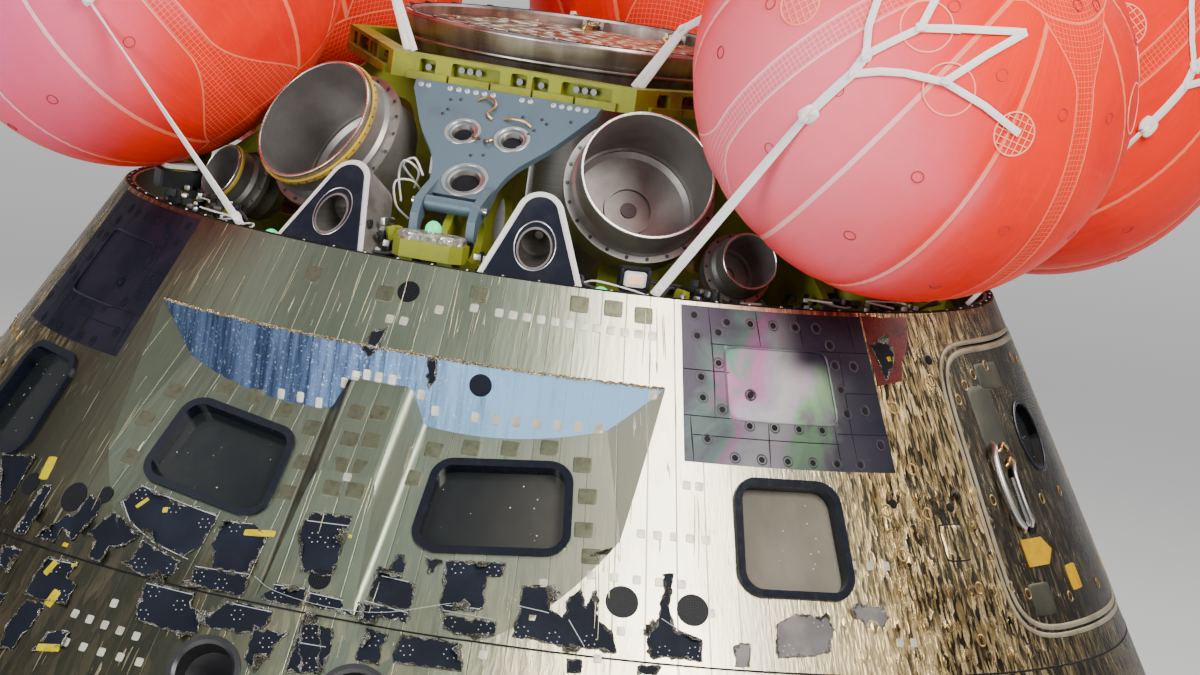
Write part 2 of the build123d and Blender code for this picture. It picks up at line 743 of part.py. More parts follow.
lid = Pos(0, 0, lid_top - lid_thickness / 2) * Cylinder(lid_radius, lid_thickness)
lid &= Pos(0, -200, lid_top - lid_thickness / 2) * Box(1400, 1380, lid_thickness)
for x in lid_hinge_x:
    arm = Pos(x, lid_hinge_y - 40, lid_hinge_z - 8) * Box(40, 80, 16)
    arm += Pos(x, lid_hinge_y - 66, lid_top + 4) * Box(40, 28, 24)
    barrel = Pos(x, lid_hinge_y, lid_hinge_z) * Rot(0, 90, 0) * Cylinder(11, 40)
    lid += arm + barrel
    lid -= Pos(x, lid_hinge_y, lid_hinge_z) * Rot(0, 90, 0) * Cylinder(6 + pin_gap, 60)
save("docking_hatch", lid)

# Six-sided frame round the tunnel, with pockets between its ribs
frame_low, frame_high = frame_z
hexagon = RegularPolygon(frame_apothem, 6, major_radius=False, rotation=0)
inner_hexagon = RegularPolygon(frame_apothem - frame_rail, 6, major_radius=False, rotation=0)
rail = extrude(Pos(0, 0, frame_low) * (hexagon - inner_hexagon), amount=frame_high - frame_low)
rail_middle = (frame_low + frame_high) / 2
tab_width, tab_thickness, tab_height = frame_tab
for side in range(6):
    turn = Rot(0, 0, side * 60)
    for x, width in frame_pockets:
        pocket = Box(width, 2 * (frame_rail - 22), frame_high - frame_low - 34)
        rail -= turn * Pos(x, -frame_apothem, rail_middle + 4) * fillet(pocket.edges().filter_by(Axis.Y), 9)
    for index in (-2, -1, 0, 1, 2):
        tab = Box(tab_width, tab_thickness, tab_height)
        tab_y = -frame_apothem - tab_thickness / 2
        rail += turn * Pos(index * frame_tab_pitch, tab_y, frame_low + tab_height / 2) * tab
save("ring_frame", rail)


def gusset(az):
    """Radial web from the tunnel to the rim, with a sloping top and three holes."""
    foot = deck_z + seat_gap
    inner = tunnel_radius + 52
    top = frame_low - seat_gap
    web = [(inner, foot), (gusset_foot_radius, foot), (gusset_foot_radius, foot + 40),
           (fitting_low_r, fitting_low_z), (frame_apothem, top), (inner, top)]
    plate = extrude(Plane.XZ * make_face(Polyline(*web, close=True)), amount=gusset_thickness / 2, both=True)
    for r, z, radius in ((620, 2900, 62), (680, 2640, 92), (940, 2600, 78), (1160, 2520, 40)):
        plate -= Pos(r, 0, z) * Rot(90, 0, 0) * Cylinder(radius, 100)
    return Rot(0, 0, az - 90) * plate


save("bay_gussets", *[gusset(az) for az in gusset_azimuths])

# Parachute fitting at the front: a sloping plate with flared holes and a clevis
gusset_top = frame_low - seat_gap
plate_fall = (gusset_top - fitting_low_z) / (fitting_low_r - frame_apothem)
plate_start = frame_apothem + 16.0
plate_top = Vector(0, -plate_start, gusset_top - (plate_start - frame_apothem) * plate_fall)
plate_length = sqrt((fitting_low_r - plate_start) ** 2 + (plate_top.Z - fitting_low_z) ** 2)
plate_elevation = 90 - degrees(atan2(plate_fall, 1))
plate_plane = plane_at(plate_top, 0, plate_elevation)
plate_side = [(316, -42), (284, -105), (208, -246), (150, -330), (116, -430), (112, -plate_length + 12)]
right_edge = [Line((0, 0), (322, 0)), Line((322, 0), plate_side[0]), Spline(*plate_side)]
left_edge = [mirror(edge, about=Plane.YZ) for edge in right_edge]
foot_edge = Line(plate_side[-1], (-plate_side[-1][0], plate_side[-1][1]))
plate_face = make_face(Curve(right_edge + left_edge + [foot_edge]))
fitting = extrude(plate_plane.offset(seat_gap) * plate_face, amount=plate_thickness)
for x, y, hole, mouth in flared_holes:
    deep = plate_thickness + 1
    lip = (hole + 0.29 * (mouth - hole), 1 + 0.71 * plate_thickness)
    cup = Curve([
        Line((0, -2), (hole, -2)), Line((hole, -2), (hole, 1)), ThreePointArc((hole, 1), lip, (mouth, deep)),
        Line((mouth, deep), (mouth, 40)), Line((mouth, 40), (0, 40)), Line((0, 40), (0, -2)),
    ])
    spot = plate_plane * Pos(x, y, 0)
    fitting -= spot * revolve(make_face(Plane.XZ * cup), axis=Axis.Z, revolution_arc=360)
lug_outline = [(-1085, 2764), (-1098, 2798), (-1180, 2768), (-1240, 2738), (-1262, 2690), (-1260, 2626),
               (-1236, 2616), (-1222, 2662), (-1186, 2692), (-1122, 2736)]
lug_face = make_face(Plane.YZ * fillet(Polygon(*lug_outline, align=None).vertices(), 8))
for side in (-1, 1):
    fitting += Pos(side * lug_x, 0, 0) * extrude(lug_face, amount=lug_thickness / 2, both=True)
fitting += Pos(0, lug_pin_y, lug_pin_z) * Rot(0, 90, 0) * Cylinder(lug_pin_radius, 2 * lug_x)
save("gusset_plate", fitting)

# Beacon tray astride the front gusset, lamps and boxes
tray_depth, tray_height = tray_size[1:]
tray = Box(*tray_size)
tray = chamfer(tray.edges().filter_by(Axis.Z), 34)
tray = Pos(0, tray_y, tray_z + tray_height / 2) * tray
for x in (-tray_leg_x, tray_leg_x):
    leg_height = tray_z - deck_z - seat_gap
    tray += Pos(x, tray_y, tray_z - leg_height / 2) * Box(*tray_leg, leg_height)
web_reach = tray_y + tray_depth / 2 + fitting_low_r + fitting_low_z - tray_z
web_slot = Box(gusset_thickness + 2 * seat_gap, 2 * (web_reach + moving_gap), 3 * tray_height)
tray -= Pos(0, tray_y + tray_depth / 2, tray_z) * web_slot
save("beacon_tray", tray)


def lamp(radius, height):
    """Domed lens on a short collar."""
    collar = Pos(0, 0, 4) * Cylinder(radius + 5, 8)
    barrel = Pos(0, 0, (height - radius) / 2) * Cylinder(radius, height - radius)
    return collar + barrel + Pos(0, 0, height - radius) * Sphere(radius, 0, 90)


casting = chamfer(Box(*casting_size).edges().filter_by(Axis.Z), 36)
casting = chamfer(casting.faces().sort_by(Axis.Z)[-1].edges(), 7)
casting_z = tray_z + tray_height + seat_gap
beacon = Pos(0, tray_y, casting_z + casting_size[2] / 2) * casting
beacon += Pos(0, tray_y, casting_z + casting_size[2]) * lamp(lamp_radius, lamp_height)
lamps = [beacon]
for az, r, z in side_lamps:
    foot = polar(az, r, z)
    stem_height = z - deck_z - seat_gap
    stem = Pos(foot.X, foot.Y, z - stem_height / 2) * Cylinder(lamp_stem_radius, stem_height)
    lamps.append(stem + Pos(foot.X, foot.Y, z) * lamp(lamp_radius, lamp_height))
save("beacon_lamps", *lamps)

boxes = []
for az, r, low, wide, deep, high in bay_boxes:
    foot = polar(az, r, low)
    case = fillet(Box(wide, deep, high).edges().filter_by(Axis.Z), 8)
    case = Pos(foot.X, foot.Y, low + high / 2) * Rot(0, 0, az) * case
    post_height = low - deck_z - seat_gap
    boxes.append(case + Pos(foot.X, foot.Y, low - post_height / 2) * Cylinder(box_post_radius, post_height))
save("bay_boxes", *boxes)

# Mortar cans
large = {side: mortar(large_can, side) for side in (1, -1)}
save("right_large_mortar", large[1])
save("left_large_mortar", large[-1])
rear_place = plane_at(polar(rear_can_az, small_can["r"], small_can["z"]), rear_can_az, small_can["face_el"])
small = [mortar(small_can, 1), mortar(small_can, -1), mortar(small_can, 1, rear_place)]
save("small_mortars", *small)
brackets = [can_bracket(large_can, side, can_plane(large_can, side), 200, 90) for side in (1, -1)]
brackets += [can_bracket(small_can, side, can_plane(small_can, side), 90, 60) for side in (1, -1)]
brackets.append(can_bracket(small_can, 1, rear_place, 90, 60))
save("mortar_brackets", *brackets)

# Thruster pods and nozzles
save("right_thruster_pod", pod_housing(1))
save("left_thruster_pod", pod_housing(-1))
save("thruster_pod_faces", pod_face(1), pod_face(-1))
save("pod_nozzles", pod_nozzle(1), pod_nozzle(-1))
save("lower_nozzles", *[lower_nozzle(az, z) for az, z in lower_thrusters])

# Airbags and the bases that they stand on
for name, az in airbags:
    centre = polar(az, bag_centre_radius, bag_centre_z)
    bag = Pos(centre.X, centre.Y, centre.Z) * Sphere(bag_radius)
    save(name, bag)
bases = []
for name, az in airbags:
    turn = bag_base_turn if 0 <= az < 100 or az < -100 else -bag_base_turn
    centre = polar(az, bag_centre_radius, bag_centre_z)
    foot = polar(az + turn, bag_base_radius, deck_z + seat_gap)
    post = Pos(foot.X, foot.Y, foot.Z + 200) * Cylinder(bag_base_size, 400)
    bases.append(post - Pos(centre.X, centre.Y, centre.Z) * Sphere(bag_radius + seat_gap))
save("airbag_bases", *bases)
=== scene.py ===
import math

import bmesh
import bpy
import numpy as np
from bpy.props import FloatProperty, FloatVectorProperty, IntProperty, PointerProperty
from mathutils import Matrix, Vector
from mathutils.geometry import delaunay_2d_cdt


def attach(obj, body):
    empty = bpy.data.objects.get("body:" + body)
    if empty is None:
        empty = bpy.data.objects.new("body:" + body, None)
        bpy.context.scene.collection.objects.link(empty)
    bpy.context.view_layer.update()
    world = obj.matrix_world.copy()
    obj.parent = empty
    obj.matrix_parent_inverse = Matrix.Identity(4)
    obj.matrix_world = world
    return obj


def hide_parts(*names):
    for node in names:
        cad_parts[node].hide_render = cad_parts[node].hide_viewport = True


bl_info = {
    "name": "Space capsule looks",
    "version": (1, 0, 0),
    "blender": (4, 5, 0),
    "location": "View3D > Sidebar > Capsule",
    "description": "Airbags, rigging, skin patches, bay fittings and finishes round a capsule's solid model",
    "category": "Object",
}

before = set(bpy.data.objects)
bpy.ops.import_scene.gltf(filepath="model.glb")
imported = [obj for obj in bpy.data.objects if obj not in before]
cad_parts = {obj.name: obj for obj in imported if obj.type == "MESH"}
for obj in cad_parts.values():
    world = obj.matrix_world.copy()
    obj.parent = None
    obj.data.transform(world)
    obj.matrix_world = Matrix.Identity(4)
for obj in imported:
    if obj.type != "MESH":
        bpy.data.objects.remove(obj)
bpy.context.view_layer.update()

# The outer cone, in metres and radians
APEX_Z = 5.1354
HALF_ANGLE = math.radians(30.0)
SLOPE = math.tan(HALF_ANGLE)
RIM_Z = 2.560
SEAM_Z = 1.500
# The airbags
BAG_AZIMUTHS = {
    "airbag_front_right": 59.5,
    "airbag_front_left": -59.5,
    "airbag_rear_right": 115.0,
    "airbag_rear_left": -115.0,
    "airbag_rear_centre": 180.0,
}
BAG_REACH = 1.576
BAG_Z = 3.335
BAG_RADIUS = 0.712
GORE, NETTED_SEAMS = 30.0, 90.0
CAP_LOW, CAP_HIGH = -58.0, 70.0
# The window bay's wall, the access panel's port as middle and half width in degrees and metres, and
# the tape's width and thickness
BAY_WALL_R = 1.640
PORT_AZ, PORT_Z, PORT_HALF_AZ, PORT_HALF_Z = 45.5, 2.331, 6.9, 0.109
TAPE_WIDTH, TAPE_THICK = 0.098, 0.0008
STRAP_FOOT_Z, STRAP_LIFT = 2.566, 0.006
UP = (0.0, 0.0, 1.0)


# Shapes
def unit(v):
    """Vectors made one long."""
    return v / np.maximum(np.linalg.norm(v, axis=-1, keepdims=True), 1e-9)


def facing(az, elevation):
    """Unit vectors that point out at an azimuth and an elevation, in degrees."""
    a, e = np.radians(az), np.radians(elevation)
    return np.stack([np.cos(e) * np.sin(a), -np.cos(e) * np.cos(a), np.sin(e) + 0 * a], -1)


def polar(az, r, z):
    """Points at azimuth az in degrees, radius r and height z."""
    a = np.radians(np.asarray(az, float))
    return np.stack([r * np.sin(a), -r * np.cos(a), z + 0 * a], -1)


def on_cone(az, z, x=0.0, y=0.0, lift=0.0):
    """Points of the outer cone: from azimuth az and height z go x level round it and y up its
    slope, then lift square to it. The radius is the height below the apex times the slope."""
    height = z + y * math.cos(HALF_ANGLE)
    radius = (APEX_Z - height) * SLOPE
    a = np.radians(az) + x / radius
    out = radius + lift * math.cos(HALF_ANGLE)
    up = height + lift * math.sin(HALF_ANGLE)
    out, up, a = np.broadcast_arrays(out, up, a)
    return np.stack([out * np.sin(a), -out * np.cos(a), up], -1)


def cone_normal(az):
    return facing(az, 30.0)


def level(az):
    """Level vector to the right of one who looks from outside at azimuth az."""
    return np.array([math.cos(math.radians(az)), math.sin(math.radians(az)), 0.0])


def turns(count):
    """Angles at even shares of a full turn."""
    return np.linspace(0, 2 * math.pi, count, endpoint=False)


def rounded(t, power):
    """How far out the outline |x|^power + |y|^power = 1 lies at angles t: 2 is round, 8 nearly square."""
    return (np.abs(np.cos(t)) ** power + np.abs(np.sin(t)) ** power) ** (-1 / power)


def grid_faces(rows, columns, close_rows=False, close_columns=False):
    """Faces of a grid of points: each joins a point to its next row and its next column."""
    i = np.arange(rows if close_rows else rows - 1)[:, None]
    j = np.arange(columns if close_columns else columns - 1)[None, :]
    i2, j2 = (i + 1) % rows, (j + 1) % columns
    corners = [i * columns + j, i2 * columns + j, i2 * columns + j2, i * columns + j2]
    return np.stack([c + 0 * (i + j) for c in corners], -1).reshape(-1, 4)


def joined(parts):
    """One set of points and faces from several."""
    points, faces, start = [], [], 0
    for p, f in parts:
        p = np.asarray(p, float).reshape(-1, 3)
        points.append(p)
        if isinstance(f, np.ndarray):
            faces += (f + start).tolist()
        else:
            faces += [[i + start for i in face] for face in f]
        start += len(p)
    return np.concatenate(points), faces


def swept(path, across, outward, section, scale=None):
    """A closed section carried along a path: each point is the path's, plus the section's x times
    the across vector and its y times the outward vector. Both ends close on the path's own ends."""
    path, section = np.asarray(path, float), np.asarray(section, float)
    size = np.ones(len(path)) if scale is None else np.asarray(scale, float)
    offsets = (section[None, :, 0, None] * across[:, None, :]
               + section[None, :, 1, None] * outward[:, None, :]) * size[:, None, None]
    body = path[:, None, :] + offsets
    first = np.repeat(path[:1, None, :], len(section), 1)
    last = np.repeat(path[-1:, None, :], len(section), 1)
    rings = np.concatenate([first, body, last])
    return rings.reshape(-1, 3), grid_faces(len(rings), len(section), close_columns=True)


def band(path, across, outward, section):
    """A closed section carried along a closed path, as swept does along an open one."""
    section = np.asarray(section, float)
    outward = np.broadcast_to(outward, path.shape)
    points = path[:, None] + section[None, :, :1] * across[:, None] + section[None, :, 1:] * outward[:, None]
    return points.reshape(-1, 3), grid_faces(len(path), len(section), close_rows=True, close_columns=True)


def copies(points, faces):
    """The points of several equal grids, and the faces of one of them for each."""
    starts = np.arange(int(np.prod(points.shape[:-3]))) * points.shape[-3] * points.shape[-2]
    return points.reshape(-1, 3), (faces[None] + starts[:, None, None]).reshape(-1, 4)


def round_section(radius, sides=10):
    t = turns(sides)
    return np.stack([radius * np.cos(t), radius * np.sin(t)], -1)


def flat_section(width, thick, edge=0.3):
    """Flat strip with softened edges, lying on y = 0."""
    w, e = width / 2, width * edge / 2
    return np.array([(-w, 0), (-w, thick * .55), (-w + e, thick), (w - e, thick), (w, thick * .55), (w, 0)])


def tube(path, radius, sides=10, scale=None):
    """Round section along a path. The across vector is square to the path and to the direction
    in which the path bends least."""
    path = np.asarray(path, float)
    along = unit(np.gradient(path, axis=0))
    least = np.linalg.svd(along)[2][2]
    across = unit(np.cross(along, least))
    return swept(path, across, np.cross(across, along), round_section(radius, sides), scale)


def ribbon(path, normal, width, thick, twist=None, scale=None):
    """Flat strip along a path whose flat side faces the normal, turned about the path by twist."""
    path = np.asarray(path, float)
    along = unit(np.gradient(path, axis=0))
    normal = np.broadcast_to(normal, path.shape)
    across = unit(np.cross(along, normal))
    outward = np.cross(across, along)
    if twist is not None:
        c, s = np.cos(twist)[:, None], np.sin(twist)[:, None]
        across, outward = across * c + outward * s, outward * c - across * s
    return swept(path, across, outward, flat_section(width, thick), scale)


def curve_through(points, count=40):
    """Smooth path through points: between two of them it is the cubic whose slope at each point
    is half the step between that point's neighbours."""
    p = np.asarray(points, float)
    p = np.concatenate([2 * p[:1] - p[1:2], p, 2 * p[-1:] - p[-2:-1]])
    t = np.linspace(0, len(p) - 3 - 1e-9, count)
    k = t.astype(int)
    t = (t - k)[:, None]
    a, b, c, d = p[k], p[k + 1], p[k + 2], p[k + 3]
    return 0.5 * (2 * b + (c - a) * t + (2 * a - 5 * b + 4 * c - d) * t ** 2
                  + (3 * b - a - 3 * c + d) * t ** 3)


PAD_RINGS = np.array([(0, 1), (0.8, 1), (0.95, 0.8), (1, 0.2), (1, -1), (0, -1)], float)


def pads(place, half_width, half_height, thick, power=8.0, sides=20, rings=PAD_RINGS):
    """Closed low pads, one for each place, with a rounded outline. place(x, y, lift) gives the
    points in space."""
    t = turns(sides) + math.pi / sides
    far = rounded(t, power)
    x = rings[:, 0, None] * (np.cos(t) * far)[None]
    y = rings[:, 0, None] * (np.sin(t) * far)[None]
    lift = rings[:, 1, None] * thick + 0 * x
    points = place(x * half_width, y * half_height, lift)
    return copies(points, grid_faces(len(rings), sides, close_columns=True))


def flat_place(origins, right, up):
    """Places on planes for pads: arrays of origins, and the planes' right and up vectors."""
    origins = np.atleast_2d(origins)[:, None, None, :]
    right = np.broadcast_to(np.atleast_2d(right)[:, None, None, :], origins.shape)
    up = np.broadcast_to(np.atleast_2d(up)[:, None, None, :], origins.shape)
    out = np.cross(right, up)

    def place(x, y, lift):
        return origins + x[..., None] * right + y[..., None] * up + lift[..., None] * out
    return place


def turned_shape(profile, origin, axis, sides=48):
    """A closed profile of (radius, height) turned about an axis through the origin."""
    profile = np.asarray(profile, float)
    axis = unit(np.asarray(axis, float))
    seed = np.array([0, 0, 1.0]) if abs(axis[2]) < 0.9 else np.array([1.0, 0, 0])
    right = unit(np.cross(seed, axis))
    front = np.cross(axis, right)
    t = turns(sides)
    around = np.cos(t)[:, None] * right + np.sin(t)[:, None] * front
    points = (np.asarray(origin, float) + profile[None, :, 0, None] * around[:, None, :]
              + profile[None, :, 1, None] * axis)
    return points.reshape(-1, 3), grid_faces(sides, len(profile), close_rows=True, close_columns=True)


def soft_box(centre, size, right, up, power=7.0, rows=14, columns=20):
    """Box with rounded edges: the surface where the powers of its three coordinates add up to 1."""
    u = np.linspace(-math.pi / 2, math.pi / 2, rows)[:, None]
    v = turns(columns)[None, :] + math.pi / columns
    d = np.stack([np.cos(u) * np.cos(v), np.cos(u) * np.sin(v), np.sin(u) + 0 * v], -1)
    d = d / (np.abs(d) ** power).sum(-1, keepdims=True) ** (1 / power)
    d = d * np.asarray(size, float) / 2
    right, up = unit(np.asarray(right, float)), unit(np.asarray(up, float))
    deep = np.cross(up, right)
    up = np.cross(right, deep)
    points = (np.asarray(centre, float) + d[..., :1] * right + d[..., 1:2] * deep + d[..., 2:] * up)
    return points.reshape(-1, 3), grid_faces(rows, columns, close_columns=True)


def linked(name, data):
    """A new object in the scene."""
    made = bpy.data.objects.new(name, data)
    bpy.context.scene.collection.objects.link(made)
    return made


def lay(name, parts, finish_name, body="capsule", smooth=True):
    """Makes one piece of several shapes in one finish and lets it ride on a body."""
    points, faces = joined(parts)
    mesh = bpy.data.meshes.new(name)
    mesh.from_pydata(points.tolist(), [], faces)
    work = bmesh.new()
    work.from_mesh(mesh)
    bmesh.ops.remove_doubles(work, verts=work.verts, dist=1e-5)
    bmesh.ops.dissolve_degenerate(work, edges=work.edges, dist=1e-6)
    bmesh.ops.recalc_face_normals(work, faces=work.faces)
    work.to_mesh(mesh)
    work.free()
    mesh.materials.append(MATERIALS[finish_name])
    mesh.polygons.foreach_set("use_smooth", [smooth] * len(mesh.polygons))
    if smooth:
        mesh.set_sharp_from_angle(angle=math.radians(40))
    piece = linked(name, mesh)
    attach(piece, body)
    return piece


# Finishes
class Value:
    """A node's output in plain arithmetic: each sum makes a math node of its own."""

    def __init__(self, wires, socket):
        self.wires, self.socket = wires, socket

    def __add__(self, other):
        return self.wires.math("ADD", self, other)

    def __sub__(self, other):
        return self.wires.math("SUBTRACT", self, other)

    def __rsub__(self, other):
        return self.wires.math("SUBTRACT", other, self)

    def __mul__(self, other):
        return self.wires.math("MULTIPLY", self, other)

    def __truediv__(self, other):
        return self.wires.math("DIVIDE", self, other)

    def __abs__(self):
        return self.wires.math("ABSOLUTE", self)

    __radd__ = __add__


class Wires:
    """Short names for making the nodes of a material or a node group."""

    def __init__(self, tree):
        self.tree = tree

    def feed(self, socket, value):
        if isinstance(value, Value):
            value = value.socket
        if isinstance(value, bpy.types.NodeSocket):
            self.tree.links.new(value, socket)
        elif value is not None:
            if socket.type == "RGBA" and len(value) == 3:
                value = (*value, 1.0)
            socket.default_value = value

    def named(self, sockets, values):
        for key, value in values.items():
            self.feed(sockets[key.replace("_", " ")], value)

    def add(self, kind, settings=None, **inputs):
        node = self.tree.nodes.new(kind)
        for key, value in (settings or {}).items():
            setattr(node, key, value)
        self.named(node.inputs, inputs)
        return node

    def made(self, kind, settings, given, output=0):
        """A node whose inputs are fed in order, and one of its outputs."""
        node = self.add(kind, settings)
        for socket, value in zip(node.inputs, given):
            self.feed(socket, value)
        return Value(self, node.outputs[output])

    def math(self, operation, *given, clamp=False):
        return self.made("ShaderNodeMath", {"operation": operation, "use_clamp": clamp}, given)

    def larger(self, a, b):
        return self.math("MAXIMUM", a, b)

    def vectors(self, operation, *given, output=0):
        return self.made("ShaderNodeVectorMath", {"operation": operation}, given, output)

    def times(self, vector, by):
        return self.vectors("MULTIPLY", vector, by)

    def mix(self, amount, a, b):
        given = [amount] + [None] * 5 + [a, b]
        return self.made("ShaderNodeMix", {"data_type": "RGBA"}, given, 2)

    def blend(self, amount, a, b):
        return self.made("ShaderNodeMix", {"data_type": "FLOAT"}, (amount, None, a, b))

    def step(self, *given):
        """Smooth step of a value from low to high: value, low, high, and what it goes from and to."""
        return self.made("ShaderNodeMapRange", {"interpolation_type": "SMOOTHSTEP"}, given)

    def noise(self, vector, scale, detail=3.0, rough=0.5, warp=0.0, output="Fac"):
        node = self.add("ShaderNodeTexNoise", Vector=vector, Scale=scale, Detail=detail,
                        Roughness=rough, Distortion=warp)
        return Value(self, node.outputs[output])

    def bent(self, vector, scale, detail, by):
        """A vector pushed about by coloured noise."""
        push = self.noise(vector, scale, detail, output="Color")
        return self.vectors("MULTIPLY_ADD", push, by, vector)

    def cells(self, vector, scale, jitter=1.0):
        """Scattered cells: the distance to a cell's middle, and a value of each cell's own."""
        node = self.add("ShaderNodeTexVoronoi", Vector=vector, Scale=scale, Randomness=jitter)
        own = self.add("ShaderNodeSeparateColor", Color=node.outputs["Color"])
        return Value(self, node.outputs["Distance"]), Value(self, own.outputs[0])

    def vector(self, x=0.0, y=0.0, z=0.0):
        return self.made("ShaderNodeCombineXYZ", {}, (x, y, z))

    def here(self, kind="Object"):
        return self.add("ShaderNodeTexCoord").outputs[kind]

    def split(self, vector):
        return [Value(self, out) for out in self.add("ShaderNodeSeparateXYZ", Vector=vector).outputs]

    def group(self, name, **inputs):
        node = self.tree.nodes.new("ShaderNodeGroup")
        node.node_tree = group(name)
        self.named(node.inputs, inputs)
        return [Value(self, out) for out in node.outputs]


FLOAT, VECTOR = "NodeSocketFloat", "NodeSocketVector"


def new_group(name, inputs, outputs):
    """An empty node group with named sockets: its wires, its inputs and its output node's sockets."""
    tree = bpy.data.node_groups.new(name, "ShaderNodeTree")
    for label, kind, default in inputs:
        socket = tree.interface.new_socket(label, in_out="INPUT", socket_type=kind)
        if default is not None:
            socket.default_value = default
    for label in outputs:
        kind = VECTOR if label == "Flat" else FLOAT
        tree.interface.new_socket(label, in_out="OUTPUT", socket_type=kind)
    wires = Wires(tree)
    return tree, wires, wires.add("NodeGroupInput").outputs, wires.add("NodeGroupOutput").inputs


def cone_group():
    """Place on the cone: Flat holds metres round it and up its slope, with azimuth in degrees,
    height, radius, and how far the surface faces outwards, upwards and to the left."""
    outputs = ("Flat", "Azimuth", "Height", "Radius", "Outward", "Upward", "Leftward")
    tree, w, _, out = new_group("Cone place", [], outputs)
    x, y, z = w.split(w.here())
    nx, ny, nz = w.split(w.here("Normal"))
    turn = w.math("ARCTAN2", x, y * -1.0)
    radius = w.math("SQRT", x * x + y * y)
    w.named(out, {"Flat": w.vector(turn * 1.9, z * (1 / math.cos(HALF_ANGLE))), "Height": z,
                  "Azimuth": turn * (180 / math.pi), "Radius": radius,
                  "Outward": (nx * x + ny * y) / radius, "Upward": nz, "Leftward": nx * -1.0})
    return tree


def crinkle_group():
    """Creased tape: long facets with a shade of their own each, fine lengthwise folds, and the
    height that both give."""
    inputs = [("Flat", VECTOR, None), ("Amount", FLOAT, 0.5), ("Size", FLOAT, 1.0)]
    tree, w, given, out = new_group("Crinkled tape", inputs, ("Shade", "Folds", "Height"))
    flat = w.vectors("SCALE", given["Flat"], None, None, given["Size"])
    bent = w.bent(flat, 9.0, 2.0, (0.03, 0.03, 0.0))
    away, cell = w.cells(w.times(bent, (42.0, 9.0, 0.0)), 1.0)
    fine = w.noise(w.times(bent, (110.0, 16.0, 0.0)), 1.0, 4.0, 0.6)
    folds = w.step(w.noise(w.times(flat, (70.0, 4.5, 0.0)), 1.0, 1.5, 0.4), 0.69, 0.72)
    height = (away * 0.55 + fine * 0.45) * given["Amount"]
    w.named(out, {"Shade": cell * 0.6 + fine * 0.5, "Folds": folds, "Height": height + folds * 0.35})
    return tree


def grain_group():
    """Slow and fast variation for painted, cast and brushed finishes."""
    tree, w, given, out = new_group("Surface grain", [("Coarse", FLOAT, 4.0), ("Fine", FLOAT, 90.0)],
                                    ("Clouds", "Grain"))
    here = w.here()
    w.named(out, {"Clouds": w.noise(here, given["Coarse"], 4.0, 0.6),
                  "Grain": w.noise(here, given["Fine"], 3.0, 0.6)})
    return tree


GROUP_MAKERS = {"cone": cone_group, "crinkle": crinkle_group, "grain": grain_group}
GROUPS = {}


def group(name):
    if name not in GROUPS:
        GROUPS[name] = GROUP_MAKERS[name]()
    return GROUPS[name]


def surface(colour, rough, height=None, bump=0.3, depth=0.001, **more):
    """What varies over a finish: its colour and roughness, and the height that its bump takes."""
    return {"Base Color": colour, "Roughness": rough, **more}, height, bump, depth


def finish(name, maker, *given, **fixed):
    """A material: fixed values go on the shader's own sockets, and the maker gives what varies."""
    made = bpy.data.materials.new(name)
    made.use_nodes = True
    shader = made.node_tree.nodes["Principled BSDF"]
    w = Wires(made.node_tree)
    w.named(shader.inputs, fixed)
    varying, height, bump, depth = maker(w, *given)
    w.named(shader.inputs, varying)
    if height is not None:
        relief = w.add("ShaderNodeBump", Strength=bump, Distance=depth, Height=height)
        w.feed(shader.inputs["Normal"], relief.outputs[0])
    return made


def painted(w, base, wear=(0.5, 0.5, 0.48), amount=0.25, rough=0.5, dirt=(0.05, 0.04, 0.03)):
    """Paint with cloudy dirt, a fine grain and worn spots."""
    clouds, grain = w.group("grain", Coarse=5.0, Fine=120.0)
    dirty = w.step(clouds, 0.48, 0.72, 0.0, 0.55)
    colour = w.mix(dirty, base, dirt)
    worn = w.step(grain, 0.80 - amount * 0.4, 0.86)
    colour = w.mix(worn * amount, colour, wear)
    return surface(colour, clouds * 0.25 + (rough - 0.1), grain, 0.08)


def metal(w, base, dark, rough=0.32):
    """Bare metal with level brush lines, and heat or handling marks."""
    here = w.here()
    lines = w.noise(w.times(here, (1.0, 1.0, 60.0)), 4.0, 4.0, 0.6)
    clouds = w.noise(here, 3.0, 4.0, 0.6)
    colour = w.mix(w.step(clouds, 0.42, 0.72) * 0.5, base, dark)
    colour = w.mix(w.step(lines, 0.35, 0.75) * 0.35, colour, dark)
    return surface(colour, lines * 0.2 + (rough - 0.1), lines, 0.06)


